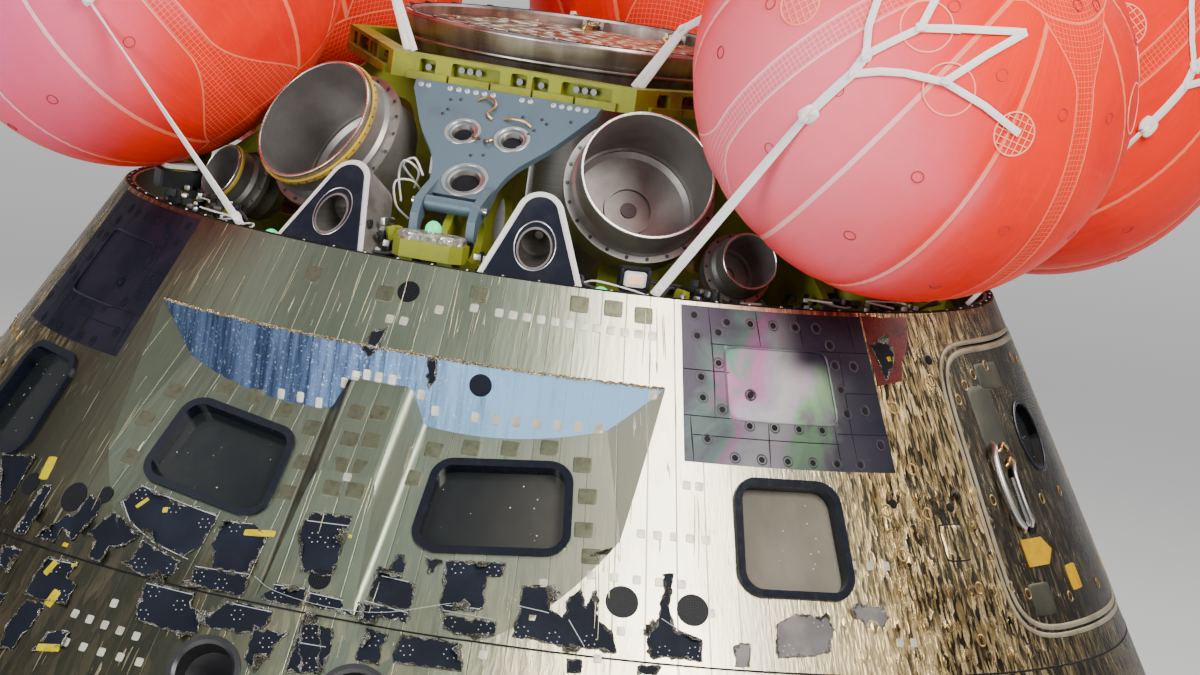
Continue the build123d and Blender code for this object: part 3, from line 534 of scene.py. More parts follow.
def taped_skin(w, settings, size=1.0, hatch=False):
    """Metallised tape over tiles: silver-olive and nearly smooth at the front, gold-brown and
    crinkled round the sides, blue-silver on the bay's upright wall, and a pale lining inside. On
    the hatch it is duller and flatter. Light and shade are painted into the colour: highlights and
    shade on the crinkles, folds and streaks, a painted highlight on the front's right and low on
    the gold side, painted shade on the front's left, low on the left and round the hatch side,
    nearly black hatch edges, and a wall painted paler to the right."""
    front, gold = tuple(settings.front_colour), tuple(settings.side_colour)
    # bare is the pale gold of the brightest crinkle facets: a painted highlight, dimmer on the hatch
    bare, lining = (0.95, 0.70, 0.34), (0.33, 0.34, 0.31)
    if hatch:
        gold, bare = (0.050, 0.038, 0.020), (0.38, 0.27, 0.13)
    flat, azimuth, height, radius, outward, upward, leftward = w.group("cone")
    off_front = w.step(abs(azimuth), 36.0, 58.0)
    slow = w.noise(flat, 2.2, 3.0, 0.6)
    low = w.step(height, 1.75, 1.45)
    side = w.larger(off_front, low * 0.16)
    side = w.math("ADD", side, (slow - 0.5) * 0.5, clamp=True)
    amount = w.blend(side, 0.12, 0.5 if hatch else 1.0)
    shade, folds, relief = w.group("crinkle", Flat=flat, Amount=amount, Size=size)
    strips = w.split(flat)[0] / TAPE_WIDTH
    edge = w.step(abs(w.math("FRACT", strips) - 0.5), 0.475, 0.492)
    number = w.math("FLOOR", strips)
    own = w.add("ShaderNodeTexWhiteNoise", {"noise_dimensions": "1D"}, W=number).outputs["Value"]
    silver = w.mix(own, front, tuple(c * 0.72 for c in front))
    silver = w.mix(w.step(slow, 0.45, 0.75, 0.0, 0.6), silver, (0.30, 0.33, 0.25))
    patch = w.noise(w.times(flat, (5.0, 2.2, 0.0)), 1.0, 3.0, 0.6)
    shade = shade + (patch - 0.5) * 0.45
    # Painted light: below 2.1 m, from azimuth 20 to 46 degrees and fading out by 68, the facets are painted
    # brighter
    lit = w.step(azimuth, 68.0, 46.0) * w.step(height, 2.1, 1.55) * w.step(azimuth, 0.0, 20.0)
    shade = shade + lit * 0.32
    # The near-black of the darkest facets is painted shade between them
    dull = w.mix(w.step(shade, 0.36, 0.62), (0.022, 0.015, 0.007), gold)
    bright = w.mix(w.step(shade, 0.64, 0.84), dull, bare)
    # Painted shade round the hatch side: from azimuth 62 degrees, strongest from 92 to 105 and gone by 135,
    # the gold tape is painted dark brown
    far = w.step(azimuth, 62.0, 92.0) * w.step(azimuth, 135.0, 105.0)
    bright = w.mix(far * 0.60, bright, (0.035, 0.026, 0.014))
    # Pale and dark hair streaks: painted highlights and painted shade of fine creases in the tape
    hair = w.noise(w.times(flat, (150.0, 5.0, 0.0)), 1.0, 4.0, 0.65)
    silver = w.mix(w.step(hair, 0.56, 0.70, 0.0, 0.28), silver, (0.58, 0.56, 0.42))
    silver = w.mix(w.step(hair, 0.44, 0.30, 0.0, 0.38), silver, (0.085, 0.085, 0.055))
    # Painted highlight: from azimuth 12 degrees to the right the front tape is painted pale warm silver
    silver = w.mix(w.step(azimuth, 12.0, 34.0, 0.0, 0.60), silver, (0.90, 0.82, 0.60))
    # Painted shade: from azimuth 8 degrees to the left the front tape is painted darker
    silver = w.mix(w.step(azimuth, 8.0, -14.0, 0.0, 0.55), silver, (0.070, 0.075, 0.048))
    # Painted shade on the far left, where the skin faces left: the tape is painted dark brown
    shaded = w.step(leftward, 0.20, 0.46) * w.step(azimuth, -75.0, -45.0)
    silver = w.mix(shaded * 0.80, silver, (0.050, 0.038, 0.019))
    colour = w.mix(side, silver, bright)
    # Painted shade low on the front's left: below 1.74 m and left of azimuth 4 degrees the tape is painted
    # nearly black
    painted_shade_low_left = w.step(azimuth, 4.0, -14.0) * w.step(height, 1.74, 1.54)
    colour = w.mix(painted_shade_low_left * 0.75, colour, (0.022, 0.019, 0.012))
    colour = w.mix(edge * 0.45, colour, (0.10, 0.10, 0.06))
    # Fold lines painted pale: painted highlights along the folds
    colour = w.mix(folds * w.blend(side, 0.30, 0.55), colour, (0.80, 0.68, 0.42))
    wall = w.step(abs(upward), 0.12, 0.06) * w.step(abs(radius - BAY_WALL_R), 0.02, 0.01)
    streak = w.noise(w.times(w.here(), (26.0, 26.0, 2.0)), 1.0, 5.0, 0.7)
    speckle = w.noise(w.here(), 120.0, 2.0, 0.5)
    blue = w.mix(w.step(streak, 0.35, 0.65), (0.013, 0.032, 0.080), (0.095, 0.155, 0.285))
    # Painted light: the blue wall is painted paler to the right, from azimuth 2 to 30 degrees
    blue = w.mix(w.step(azimuth + streak * 16.0, 2.0, 30.0), blue, (0.36, 0.66, 1.0))
    blue = w.mix(w.step(speckle, 0.60, 0.72, 0.0, 0.38), blue, (0.70, 0.78, 0.92))
    colour = w.mix(wall, colour, blue)
    inner = w.step(outward, 0.0, -0.2)
    colour = w.mix(inner, colour, lining)
    if hatch:
        # Painted shade: where the hatch faces sideways, at its edges, it is painted nearly black
        colour = w.mix(w.step(abs(outward), 0.65, 0.45), colour, (0.012, 0.012, 0.013))
    metallic = (1.0 - inner) * w.blend(wall, 0.88, 0.60)
    rough = w.larger(w.blend(side, 0.36, 0.27) + (slow - 0.5) * 0.2, inner * 0.8)
    return surface(colour, rough, relief - edge * 0.15, 0.75, 0.010 / size, Metallic=metallic)


def dark_tiles(w, sheen):
    """Black coated tiles. sheen is how much of the pink and green film shows low on the right. At the
    port's top right the film gives way to a painted shadow of an airbag.
    """
    flat, azimuth, height, *_ = w.group("cone")
    slow = w.noise(flat, 3.4, 4.0, 0.55, 0.6)
    fine = w.noise(flat, 60.0, 3.0, 0.6)
    base = w.mix(w.step(slow, 0.3, 0.7), (0.006, 0.007, 0.014), (0.020, 0.017, 0.029))
    base = w.mix(w.step(fine, 0.62, 0.75, 0.0, 0.3), base, (0.07, 0.075, 0.095))
    hue = w.add("ShaderNodeValToRGB")
    colours = [(0.0, (0.10, 0.085, 0.13)), (0.14, (0.16, 0.30, 0.24)), (0.24, (0.50, 0.20, 0.38)),
               (0.38, (0.42, 0.40, 0.47)), (0.52, (0.52, 0.56, 0.54)), (0.64, (0.50, 0.45, 0.52)),
               (0.76, (0.24, 0.46, 0.24)), (0.88, (0.20, 0.22, 0.21)), (1.0, (0.10, 0.10, 0.115))]
    ramp = hue.color_ramp
    for element, (place, colour) in zip(ramp.elements, (colours[0], colours[-1])):
        element.position, element.color = place, (*colour, 1)
    for place, colour in colours[1:-1]:
        ramp.elements.new(place).color = (*colour, 1)
    wave = (slow - 0.5) * 1.1
    w.feed(hue.inputs[0], (azimuth - 34.5) / 21.0 + (wave + (height - 2.33) * -0.9))
    port = (w.step(abs(azimuth - PORT_AZ), PORT_HALF_AZ, PORT_HALF_AZ - 0.2)
            * w.step(abs(height - PORT_Z), PORT_HALF_Z, PORT_HALF_Z - 0.003))
    # Painted shadow of an airbag: at the port's top right the film colour gives way to black
    shade = w.step(azimuth, 43.0, 50.0) * w.step(height, 2.33, 2.42)
    near = w.blend(port, 0.38, 0.95) * (1.0 - shade) * w.step(azimuth, 60.0, 50.0) * sheen
    colour = w.mix(near * 0.85, base, hue.outputs[0])
    return surface(colour, fine * 0.2 + 0.25, fine, 0.12, 0.002, Metallic=near * 0.2)


def foil(w, base, dark, scale=1.0):
    """Crumpled foil: facets of random shade, sharp folds."""
    here = w.here()
    bent = w.bent(here, 6.0 * scale, 3.0, (0.10, 0.10, 0.10))
    away, cell = w.cells(bent, 16.0 * scale)
    clouds = w.noise(here, 3.0 * scale, 4.0, 0.6)
    colour = w.mix(w.step(clouds, 0.35, 0.65), dark, base)
    colour = w.mix(cell * 0.45, colour, dark)
    return surface(colour, cell * 0.2 + 0.18, away, 0.9, 0.03)


def charred(w):
    """Ablator after the heat: square blocks, brown-black char, pale ash streaks."""
    here = w.here()
    *level_ways, z = w.split(here)
    block = 0.30
    lines = [w.step(abs(w.math("FRACT", way / block) - 0.5), 0.484, 0.494) for way in level_ways]
    lines = w.larger(*lines) * w.step(z, 0.75, 0.55)
    slow = w.noise(here, 1.6, 5.0, 0.65)
    fast = w.noise(here, 42.0, 4.0, 0.7)
    colour = w.mix(w.step(slow, 0.35, 0.65), (0.045, 0.030, 0.020), (0.21, 0.145, 0.095))
    colour = w.mix(w.step(fast, 0.55, 0.75, 0.0, 0.55), colour, (0.36, 0.30, 0.24))
    colour = w.mix(lines * 0.8, colour, (0.02, 0.015, 0.012))
    return surface(colour, 0.85, fast - lines, 0.6, 0.006)


def glass_dark(w):
    """Window glass: dark behind, with water drops and a soft haze low down, and a painted grey-brown
    reflection that grows towards the right side window.
    """
    here = w.here()
    away, own = w.cells(here, 55.0)
    dot = w.step(away, 0.16, 0.09) * w.step(own, 0.86, 0.9)
    haze = w.noise(w.times(here, (1.0, 1.0, 0.5)), 5.0, 4.0, 0.6)
    x = w.split(here)[0]
    # Painted reflection: towards the right, up to the side window at 1.55 m, the glass is painted grey-brown
    side = w.step(x, 0.25, 1.55) * w.step(x, 1.62, 1.50)
    clear = w.mix(haze, (0.006, 0.008, 0.010), (0.022, 0.024, 0.024))
    colour = w.mix(side, clear, w.mix(haze, (0.10, 0.095, 0.075), (0.30, 0.27, 0.21)))
    colour = w.mix(dot * 0.9, colour, (0.80, 0.75, 0.62))
    return surface(colour, haze * 0.15 + 0.06, dot, 0.4, 0.002)


def screen_holes(w):
    """Round holes in black sheet, in rows."""
    flat, *_ = w.group("cone")
    away, _ = w.cells(flat, 130.0, 0.0)
    hole = w.step(away, 0.42, 0.34)
    colour = w.mix(hole, (0.014, 0.015, 0.018), (0.001, 0.001, 0.002))
    return surface(colour, 0.45, 1.0 - hole, 0.7, 0.003)


def ring_metal(w):
    """Docking ring: brushed round its axis, with darker brown patches."""
    here = w.here()
    x, y, z = w.split(here)
    turn = w.math("ARCTAN2", x, y * -1.0)
    lines = w.noise(w.vector(turn * 1.2, z * 160.0, 0.0), 2.0, 5.0, 0.7)
    clouds = w.noise(w.vector(turn * 2.0, z, 0.0), 2.5, 4.0, 0.6)
    colour = w.mix(w.step(clouds, 0.35, 0.7), (0.46, 0.41, 0.38), (0.20, 0.15, 0.13))
    colour = w.mix(w.step(lines, 0.45, 0.8, 0.0, 0.5), colour, (0.62, 0.58, 0.55))
    return surface(colour, lines * 0.2 + 0.24, lines, 0.1)


def can_metal(w):
    """Mortar can: satin grey, clouded darker and scuffed pale."""
    here = w.here()
    clouds = w.noise(here, 4.0, 4.0, 0.6)
    fine = w.noise(w.times(here, (60.0, 60.0, 12.0)), 2.0, 4.0, 0.7)
    colour = w.mix(w.step(clouds, 0.35, 0.7), (0.40, 0.385, 0.36), (0.24, 0.23, 0.22))
    colour = w.mix(w.step(fine, 0.55, 0.8, 0.0, 0.4), colour, (0.55, 0.54, 0.51))
    return surface(colour, clouds * 0.2 + 0.34, fine, 0.06)


def bag_fabric(w, settings):
    """Coated orange-red fabric in twelve gores. Pale seams lie between them, every third seam is a
    band of netting, and both ends have a netted cap. Fabric facing forward and down on the front
    bags is painted pink, magenta on the left, with paler seams there: a painted lit side."""
    base, pink = tuple(settings.colour), tuple(settings.sheen_colour)
    uv = w.add("ShaderNodeUVMap", {"uv_map": "gores"}).outputs[0]
    u, v, _ = w.split(uv)
    lon = u * 360.0
    lat = (v - 0.5) * 180.0
    shrink = w.math("COSINE", lat * (math.pi / 180))
    metre = shrink * (BAG_RADIUS * math.pi / 180)

    def away(step):
        return abs(w.math("MODULO", lon + step / 2, step) - step / 2)

    seam_line = w.step(away(GORE) * metre, 0.0095, 0.0065)
    net_away = away(NETTED_SEAMS) * metre
    flare = w.larger(w.step(lat, -22.0, -58.0), w.step(lat, 52.0, 78.0))
    half = 0.040 + flare * 0.16
    cap = w.larger(w.step(lat, CAP_HIGH - 0.4, CAP_HIGH), w.step(lat, CAP_LOW + 0.4, CAP_LOW))
    in_net = w.larger(w.step(net_away, half, half - 0.002), cap)
    rim = w.step(abs(net_away - half), 0.0045, 0.0025)
    cap_rim = w.larger(w.step(abs(lat - CAP_HIGH), 0.4, 0.2), w.step(abs(lat - CAP_LOW), 0.4, 0.2))
    rim = w.larger(rim * (1.0 - cap), cap_rim)

    def lines(value, pitch, width):
        spot = abs(w.math("FRACT", value / pitch) - 0.5)
        return w.step(spot, 0.5 - width, 0.5 - width / 2)

    across = (w.math("MODULO", lon + 45.0, 90.0) - 45.0) * metre
    net = w.larger(lines(across, 0.0165, 0.075), lines(lat, 1.45, 0.075)) * in_net
    plain_seam = seam_line * (1.0 - in_net)
    marks = w.larger(w.larger(net * 0.6, rim * 0.8), plain_seam * 0.8)
    here = w.here()
    clouds = w.noise(here, 2.2, 4.0, 0.6, 0.8)
    wrinkle = w.noise(w.vector(lon * 0.30, lat * 0.035, 0.0), 1.6, 4.0, 0.6)
    # Painted light: fabric that faces forward, left and down, on the front half, is painted pink as the lit
    # side, and magenta far to the left
    near = w.vectors("DOT_PRODUCT", w.here("Normal"), facing(-22.0, -16.0).tolist(), output="Value")
    low = w.step(near + clouds * 0.4, 0.60, 1.28) * w.step(w.split(here)[1], 0.1, -0.6)
    body = w.mix(w.step(clouds, 0.35, 0.7), base, tuple(c * f for c, f in zip(base, (0.86, 0.55, 0.8))))
    far_left = w.step(w.split(here)[0], -0.7, -1.7)
    body = w.mix(low * 0.85, body, w.mix(far_left, pink, (0.92, 0.15, 0.34)))
    body = w.mix(w.step(wrinkle, 0.5, 0.8, 0.0, 0.12), body, (0.95, 0.20, 0.12))
    # Painted light: seams on the lit side are painted pale pink
    pale = w.mix(low, (1.0, 0.25, 0.12), (1.0, 0.66, 0.68))
    colour = w.mix(marks, body, pale)
    weave = w.noise(here, 260.0, 2.0, 0.5)
    relief = w.larger(plain_seam, rim) * 0.6 + (net * 0.35 + wrinkle * 0.9) + weave * 0.12
    return surface(colour, clouds * 0.2 + 0.33, relief, 0.35, 0.006)


def webbing(w, base, dark):
    """Woven strap: fine diagonal weave and soft dirt."""
    here = w.here()
    weave = w.noise(here, 420.0, 2.0, 0.5)
    clouds = w.noise(here, 9.0, 4.0, 0.6)
    colour = w.mix(w.step(clouds, 0.5, 0.8, 0.0, 0.4), base, dark)
    colour = w.mix(w.step(weave, 0.45, 0.7, 0.0, 0.25), colour, dark)
    return surface(colour, 0.7, weave, 0.3)


def woven(w, base, dark):
    """Plain woven seat cloth in small squares."""
    x, y, z = w.split(w.here())
    weave = w.math("SINE", (x + z) * 900.0) * w.math("SINE", (y - z) * 900.0)
    colour = w.mix(w.step(weave, -0.3, 0.6), dark, base)
    return surface(colour, 0.85, weave, 0.3)


def pod_paint(w):
    """Pod housing: a matt white edge where it faces forward, grey-brown metal round its sides."""
    _, ny, nz = w.split(w.here("Normal"))
    clouds, grain = w.group("grain", Coarse=8.0, Fine=150.0)
    front = w.step(nz * 0.5 - ny * 0.84, 0.93, 0.965)
    side = w.mix(w.step(clouds, 0.35, 0.7), (0.42, 0.40, 0.38), (0.23, 0.20, 0.19))
    white = w.mix(w.step(grain, 0.55, 0.8, 0.0, 0.3), (0.83, 0.82, 0.78), (0.55, 0.50, 0.42))
    colour = w.mix(front, side, white)
    return surface(colour, w.blend(front, 0.38, 0.6), grain, 0.1, Metallic=0.7 - front * 0.7)


def plain(w, base, dark, rough=0.5, scale=40.0, bump=0.15):
    """Small mouldings and parts: soft mottling and a fine grain."""
    here = w.here()
    clouds = w.noise(here, scale * 0.25, 4.0, 0.6)
    grain = w.noise(here, scale * 6, 2.0, 0.5)
    colour = w.mix(w.step(clouds, 0.4, 0.75), base, dark)
    return surface(colour, grain * 0.2 + (rough - 0.1), grain, bump)


def glow(w, colour):
    """Lit lens: glowing through cloudy plastic, brighter and dimmer in clouds."""
    clouds = w.noise(w.here(), 60.0, 2.0, 0.5)
    lit = w.mix(clouds, tuple(c * 0.55 for c in colour), colour)
    return surface(lit, 0.3, Emission_Color=lit)


MATERIALS = {}


def make_materials(skin, bags):
    """Every finish by name."""
    MATERIALS.update({
        "skin": finish("Taped skin", taped_skin, skin),
        "side_skin": finish("Side tape", taped_skin, skin, 2.4),
        "hatch_skin": finish("Hatch tape", taped_skin, skin, 2.2, True),
        "film_tiles": finish("Tiles with a coloured film", dark_tiles, 1.0, Specular_IOR_Level=0.2),
        "black_tiles": finish("Black tiles", dark_tiles, 0.0, Specular_IOR_Level=0.07),
        "ablator": finish("Charred ablator", charred),
        "window_frame": finish("Window frame", plain, (0.004, 0.006, 0.012), (0.009, 0.011, 0.018), 0.24, 8.0,
                               0.02, Specular_IOR_Level=0.35, Coat_Weight=0.15, Coat_Roughness=0.12),
        "glass": finish("Window glass", glass_dark, Specular_IOR_Level=0.4, Coat_Weight=0.2,
                        Coat_Roughness=0.03),
        "screen": finish("Vent screen", screen_holes, Specular_IOR_Level=0.15),
        "primer": finish("Green primer", painted, (0.25, 0.27, 0.018), (0.46, 0.47, 0.16), 0.2, 0.48,
                         Metallic=0.15, Specular_IOR_Level=0.3),
        # A darker copy of the green primer for the deck in the bay: painted shade
        "deck_primer": finish("Shaded green primer", painted, (0.115, 0.125, 0.028), (0.30, 0.31, 0.12), 0.2,
                              0.6),
        "blue_grey": finish("Blue-grey paint", painted, (0.100, 0.150, 0.190), (0.42, 0.47, 0.50), 0.3, 0.42,
                            (0.07, 0.09, 0.11), Metallic=0.25),
        "ring": finish("Docking ring", ring_metal, Metallic=0.95),
        "gold_foil": finish("Crumpled gold foil", foil, (0.62, 0.44, 0.22), (0.09, 0.055, 0.03),
                            Metallic=0.95),
        # Pale gold of the wall's crumpled top edge: partly the foil's colour, partly a painted highlight
        "edge_foil": finish("Crumpled wall edge", foil, (0.84, 0.72, 0.48), (0.46, 0.36, 0.21), 5.0,
                            Metallic=0.9),
        "silver_foil": finish("Torn tape edge", foil, (0.62, 0.62, 0.56), (0.16, 0.15, 0.11), 5.0,
                              Metallic=0.9),
        "can": finish("Mortar can metal", can_metal, Metallic=0.85),
        "can_ring": finish("Yellow can ring", painted, (0.52, 0.33, 0.03), (0.75, 0.72, 0.6), 0.25, 0.42),
        "bare": finish("Bare metal", metal, (0.56, 0.55, 0.52), (0.28, 0.27, 0.25), Metallic=0.95),
        "bright": finish("Bright metal", metal, (0.78, 0.77, 0.74), (0.45, 0.44, 0.42), 0.25, Metallic=0.95),
        "dark_metal": finish("Dark metal", metal, (0.10, 0.10, 0.105), (0.03, 0.03, 0.032), Metallic=0.8),
        "nozzle": finish("Nozzle metal", metal, (0.30, 0.28, 0.26), (0.08, 0.07, 0.065), 0.38, Metallic=0.9),
        "pod": finish("Pod housing", pod_paint),
        "pod_black": finish("Pod face", plain, (0.010, 0.012, 0.020), (0.025, 0.027, 0.035), 0.6, 30.0,
                            Specular_IOR_Level=0.05),
        "bag": finish("Airbag fabric", bag_fabric, bags, Specular_IOR_Level=0.05),
        "bag_mark": finish("Airbag marks", plain, (1.0, 0.36, 0.24), (0.95, 0.24, 0.14), 0.5, 20.0),
        "bag_stamp": finish("Airbag rings", plain, (0.42, 0.035, 0.04), (0.35, 0.02, 0.03), 0.5, 20.0),
        "strap": finish("White webbing", webbing, (0.86, 0.85, 0.83), (0.55, 0.53, 0.50)),
        "seat": finish("Seat cloth", woven, (0.10, 0.115, 0.14), (0.03, 0.035, 0.045)),
        "console": finish("Console plastic", plain, (0.07, 0.075, 0.08), (0.03, 0.032, 0.035), 0.45),
        "cabin": finish("Cabin metal", painted, (0.45, 0.46, 0.44), (0.7, 0.7, 0.68), 0.2, 0.45,
                        Metallic=0.4),
        "pale_pad": finish("Pale tape square", plain, (0.62, 0.60, 0.50), (0.40, 0.37, 0.27), 0.45, 60.0, 0.3,
                           Metallic=0.5),
        "brown_pad": finish("Plug square", plain, (0.135, 0.140, 0.088), (0.085, 0.085, 0.050), 0.38, 200.0,
                            0.5, Metallic=0.75),
        "navy_tiles": finish("Bare navy tiles", plain, (0.0045, 0.0065, 0.013), (0.011, 0.015, 0.026), 0.68,
                             14.0, 0.2, Specular_IOR_Level=0.15),
        "grey_tiles": finish("Bare grey tiles", plain, (0.11, 0.10, 0.10), (0.20, 0.18, 0.17), 0.6, 30.0,
                             0.3),
        "deep_black": finish("Black gaps", plain, (0.004, 0.004, 0.006), (0.012, 0.012, 0.016), 0.6,
                             Specular_IOR_Level=0.15),
        # Pale colour of the raised creases: partly a painted highlight along them
        "crease": finish("Bright crease", plain, (0.50, 0.45, 0.28), (0.32, 0.29, 0.17), 0.36, 20.0,
                         Metallic=0.75),
        "plug": finish("Plug rings", plain, (0.050, 0.043, 0.050), (0.02, 0.018, 0.022), 0.4, Metallic=0.3),
        "gold_plate": finish("Yellow plate", plain, (0.56, 0.31, 0.004), (0.42, 0.23, 0.003), 0.45, 60.0, 0.2,
                             Specular_IOR_Level=0.05),
        "box_black": finish("Black casing", plain, (0.012, 0.013, 0.014), (0.03, 0.032, 0.035), 0.4, 30.0,
                            Specular_IOR_Level=0.15),
        "lamp_casting": finish("Crumpled casting", foil, (0.50, 0.51, 0.45), (0.26, 0.27, 0.22), 1.6,
                               Metallic=0.5),
        "yellow": finish("Yellow tape", plain, (0.60, 0.47, 0.002), (0.40, 0.29, 0.002), 0.45, 60.0, 0.4,
                         Specular_IOR_Level=0.05),
        "white_line": finish("Pale line", plain, (0.42, 0.45, 0.46), (0.22, 0.23, 0.24), 0.5),
        "seal": finish("Hatch seal", plain, (0.40, 0.34, 0.23), (0.22, 0.18, 0.11), 0.4, 30.0, 0.4,
                       Metallic=0.5),
        "white_cable": finish("White sleeve", webbing, (0.78, 0.78, 0.75), (0.45, 0.45, 0.42)),
        "black_cable": finish("Black sleeve", webbing, (0.035, 0.035, 0.04), (0.015, 0.015, 0.018)),
        "clear_box": finish("White casing", painted, (0.72, 0.72, 0.70), (0.8, 0.8, 0.78), 0.2, 0.5),
        "red_tape": finish("Red tape", plain, (0.17, 0.016, 0.012), (0.045, 0.010, 0.008), 0.3, 30.0, 0.3,
                           Metallic=0.5),
        "hatch_patch": finish("Smooth hatch tape", plain, (0.060, 0.062, 0.040), (0.14, 0.125, 0.075), 0.34,
                              14.0, 0.2, Metallic=0.7),
        "brass": finish("Gold plating", metal, (0.62, 0.42, 0.16), (0.26, 0.16, 0.06), 0.3, Metallic=0.95),
        "beacon": finish("Green beacon", glow, (0.012, 0.78, 0.27), Emission_Strength=1.5),
        "amber": finish("Lit amber window", glow, (1.0, 0.62, 0.40), Emission_Strength=1.0),
    })


# The finish of each CAD node that isn't taped skin
NODE_FINISH = {
    "heat_shield": "ablator", "front_window_frames": "window_frame", "side_window_frames": "window_frame",
    "window_panes": "glass", "hatch_window_pane": "glass", "vent_screens": "screen",
    "right_access_panel": "film_tiles", "left_access_panel": "black_tiles",
    "forward_bulkhead": "deck_primer", "ring_frame": "primer", "bay_gussets": "primer",
    "mortar_brackets": "primer", "airbag_bases": "primer", "gusset_plate": "blue_grey",
    "docking_ring": "ring", "docking_tunnel": "bare", "docking_hatch": "gold_foil",
    "right_large_mortar": "can", "left_large_mortar": "can", "small_mortars": "can",
    "right_thruster_pod": "pod", "left_thruster_pod": "pod", "thruster_pod_faces": "pod_black",
    "pod_nozzles": "nozzle", "lower_nozzles": "dark_metal", "hatch_handle": "bright",
    "side_hatch": "hatch_skin", "beacon_tray": "primer", "beacon_lamps": "lamp_casting",
    "bay_boxes": "box_black",
    "cabin_floor": "cabin", "crew_seats": "seat", "display_console": "console",
}


def dress_nodes():
    """Gives every CAD node its finish. The shell's panels are taped skin, smoother at the front."""
    for name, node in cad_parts.items():
        front = name.startswith(("front", "lower_front"))
        chosen = MATERIALS[NODE_FINISH.get(name, "skin" if front else "side_skin")]
        node.data.materials.clear()
        node.data.materials.append(chosen)


# Airbags
def bag_axes(az):
    """An airbag's centre, and its axes: the pole out and up, and two square to it."""
    centre = polar(az, BAG_REACH, BAG_Z)
    pole = facing(az, 43.0)
    side = level(az)
    return centre, pole, side, np.cross(side, pole)


def bag_point(az, lon, lat, lift=0.0):
    """Points on an airbag's sphere at longitude and latitude about its pole, in degrees."""
    centre, pole, side, low = bag_axes(az)
    mirror = -1.0 if az < 0 else 1.0
    lon, lat, lift = np.broadcast_arrays(np.asarray(lon, float), lat, lift)
    u, v = np.radians(lon)[..., None], np.radians(lat)[..., None]
    out = np.cos(v) * (np.cos(u) * side * mirror + np.sin(u) * low) + np.sin(v) * pole
    return centre + out * (BAG_RADIUS + lift)[..., None], out


def airbag(name, az, bags):
    """Sphere of twelve gores: the radius dips by a few millimetres at each seam, with fine
    puckers beside it whose height falls off with the distance from the seam."""
    rows, columns = bags.rows, bags.columns
    lat = np.linspace(-88.5, 88.5, rows)[:, None]
    lon = np.linspace(0, 360, columns, endpoint=False)[None, :] + 174.5
    off = (np.abs((lon - 174.5 + 15) % 30 - 15)) * np.cos(np.radians(lat))
    dip = -bags.seam_depth * np.exp(-(off / 2.2) ** 2)
    pucker = 0.0011 * np.exp(-(off / 4.5) ** 2)
    pucker = pucker * np.sin(np.radians(lat) * 95 + np.sin(np.radians(lon) * 7) * 2)
    swell = 0.0015 * np.sin(np.radians(lon) * 5 + 1) * np.cos(np.radians(lat) * 3)
    points, _ = bag_point(az, lon + 0 * lat, lat + 0 * lon, dip + pucker + swell - 0.001)
    ends, _ = bag_point(az, np.array([0.0, 0.0]), np.array([-90.0, 90.0]), -0.003)
    count = rows * columns
    faces = grid_faces(rows, columns, close_columns=True)
    j = np.arange(columns)
    low = np.stack([np.full(columns, count), (j + 1) % columns, j], -1)
    high = np.stack([np.full(columns, count + 1), count - columns + j,
                     count - columns + (j + 1) % columns], -1)
    mesh = bpy.data.meshes.new(name + "_fabric")
    points = np.concatenate([points.reshape(-1, 3), ends])
    mesh.from_pydata(points.tolist(), [], faces.tolist() + low.tolist() + high.tolist())
    u0, v0 = np.meshgrid(np.arange(columns) / columns, (lat[:-1, 0] + 90) / 180)
    v1 = np.broadcast_to((lat[1:, 0] + 90)[:, None] / 180, v0.shape)
    u1 = u0 + 1 / columns
    quads = np.stack([u0, v0, u0, v1, u1, v1, u1, v0], -1).reshape(-1)
    c = j / columns
    caps_low = np.stack([c + .5 / columns, 0 * c, c + 1 / columns, 0 * c + v0[0, 0], c, 0 * c + v0[0, 0]], -1)
    top = (lat[-1, 0] + 90) / 180
    caps_high = np.stack([c + .5 / columns, 0 * c + 1, c, 0 * c + top, c + 1 / columns, 0 * c + top], -1)
    layer = mesh.uv_layers.new(name="gores")
    layer.data.foreach_set("uv", np.concatenate([quads, caps_low.reshape(-1), caps_high.reshape(-1)]))
    work = bmesh.new()
    work.from_mesh(mesh)
    bmesh.ops.recalc_face_normals(work, faces=work.faces)
    work.to_mesh(mesh)
    work.free()
    mesh.materials.append(MATERIALS["bag"])
    mesh.polygons.foreach_set("use_smooth", [True] * len(mesh.polygons))
    piece = linked(name + "_fabric", mesh)
    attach(piece, "capsule")
    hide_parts(name)
    return piece


def bag_place(az, lon, lat):
    """Places on an airbag for pads and rings."""
    spot, out = bag_point(az, np.atleast_1d(lon), np.atleast_1d(lat))
    _, pole, _, _ = bag_axes(az)
    right = unit(np.cross(pole, out))
    up = np.cross(out, right)

    def place(x, y, lift):
        x, y, lift = np.broadcast_arrays(x, y, lift)
        flat = (spot[:, None, None, :] + x[..., None] * right[:, None, None, :]
                + y[..., None] * up[:, None, None, :])
        centre = bag_axes(az)[0]
        return centre + unit(flat - centre) * (BAG_RADIUS + lift)[..., None]
    return place


def rings_on(place, radius, width, height, sides=40):
    """Flat rings: a closed low section turned about each place's normal."""
    t = turns(sides)[None, :]
    section = np.array([(-.5, -1), (-.5, 0.7), (-.2, 1), (.2, 1), (.5, 0.7), (.5, -1)])
    r = radius + section[:, 0, None] * width
    points = place(r * np.cos(t), r * np.sin(t), section[:, 1, None] * height + 0 * t)
    return copies(points, grid_faces(len(section), sides, close_rows=True, close_columns=True))


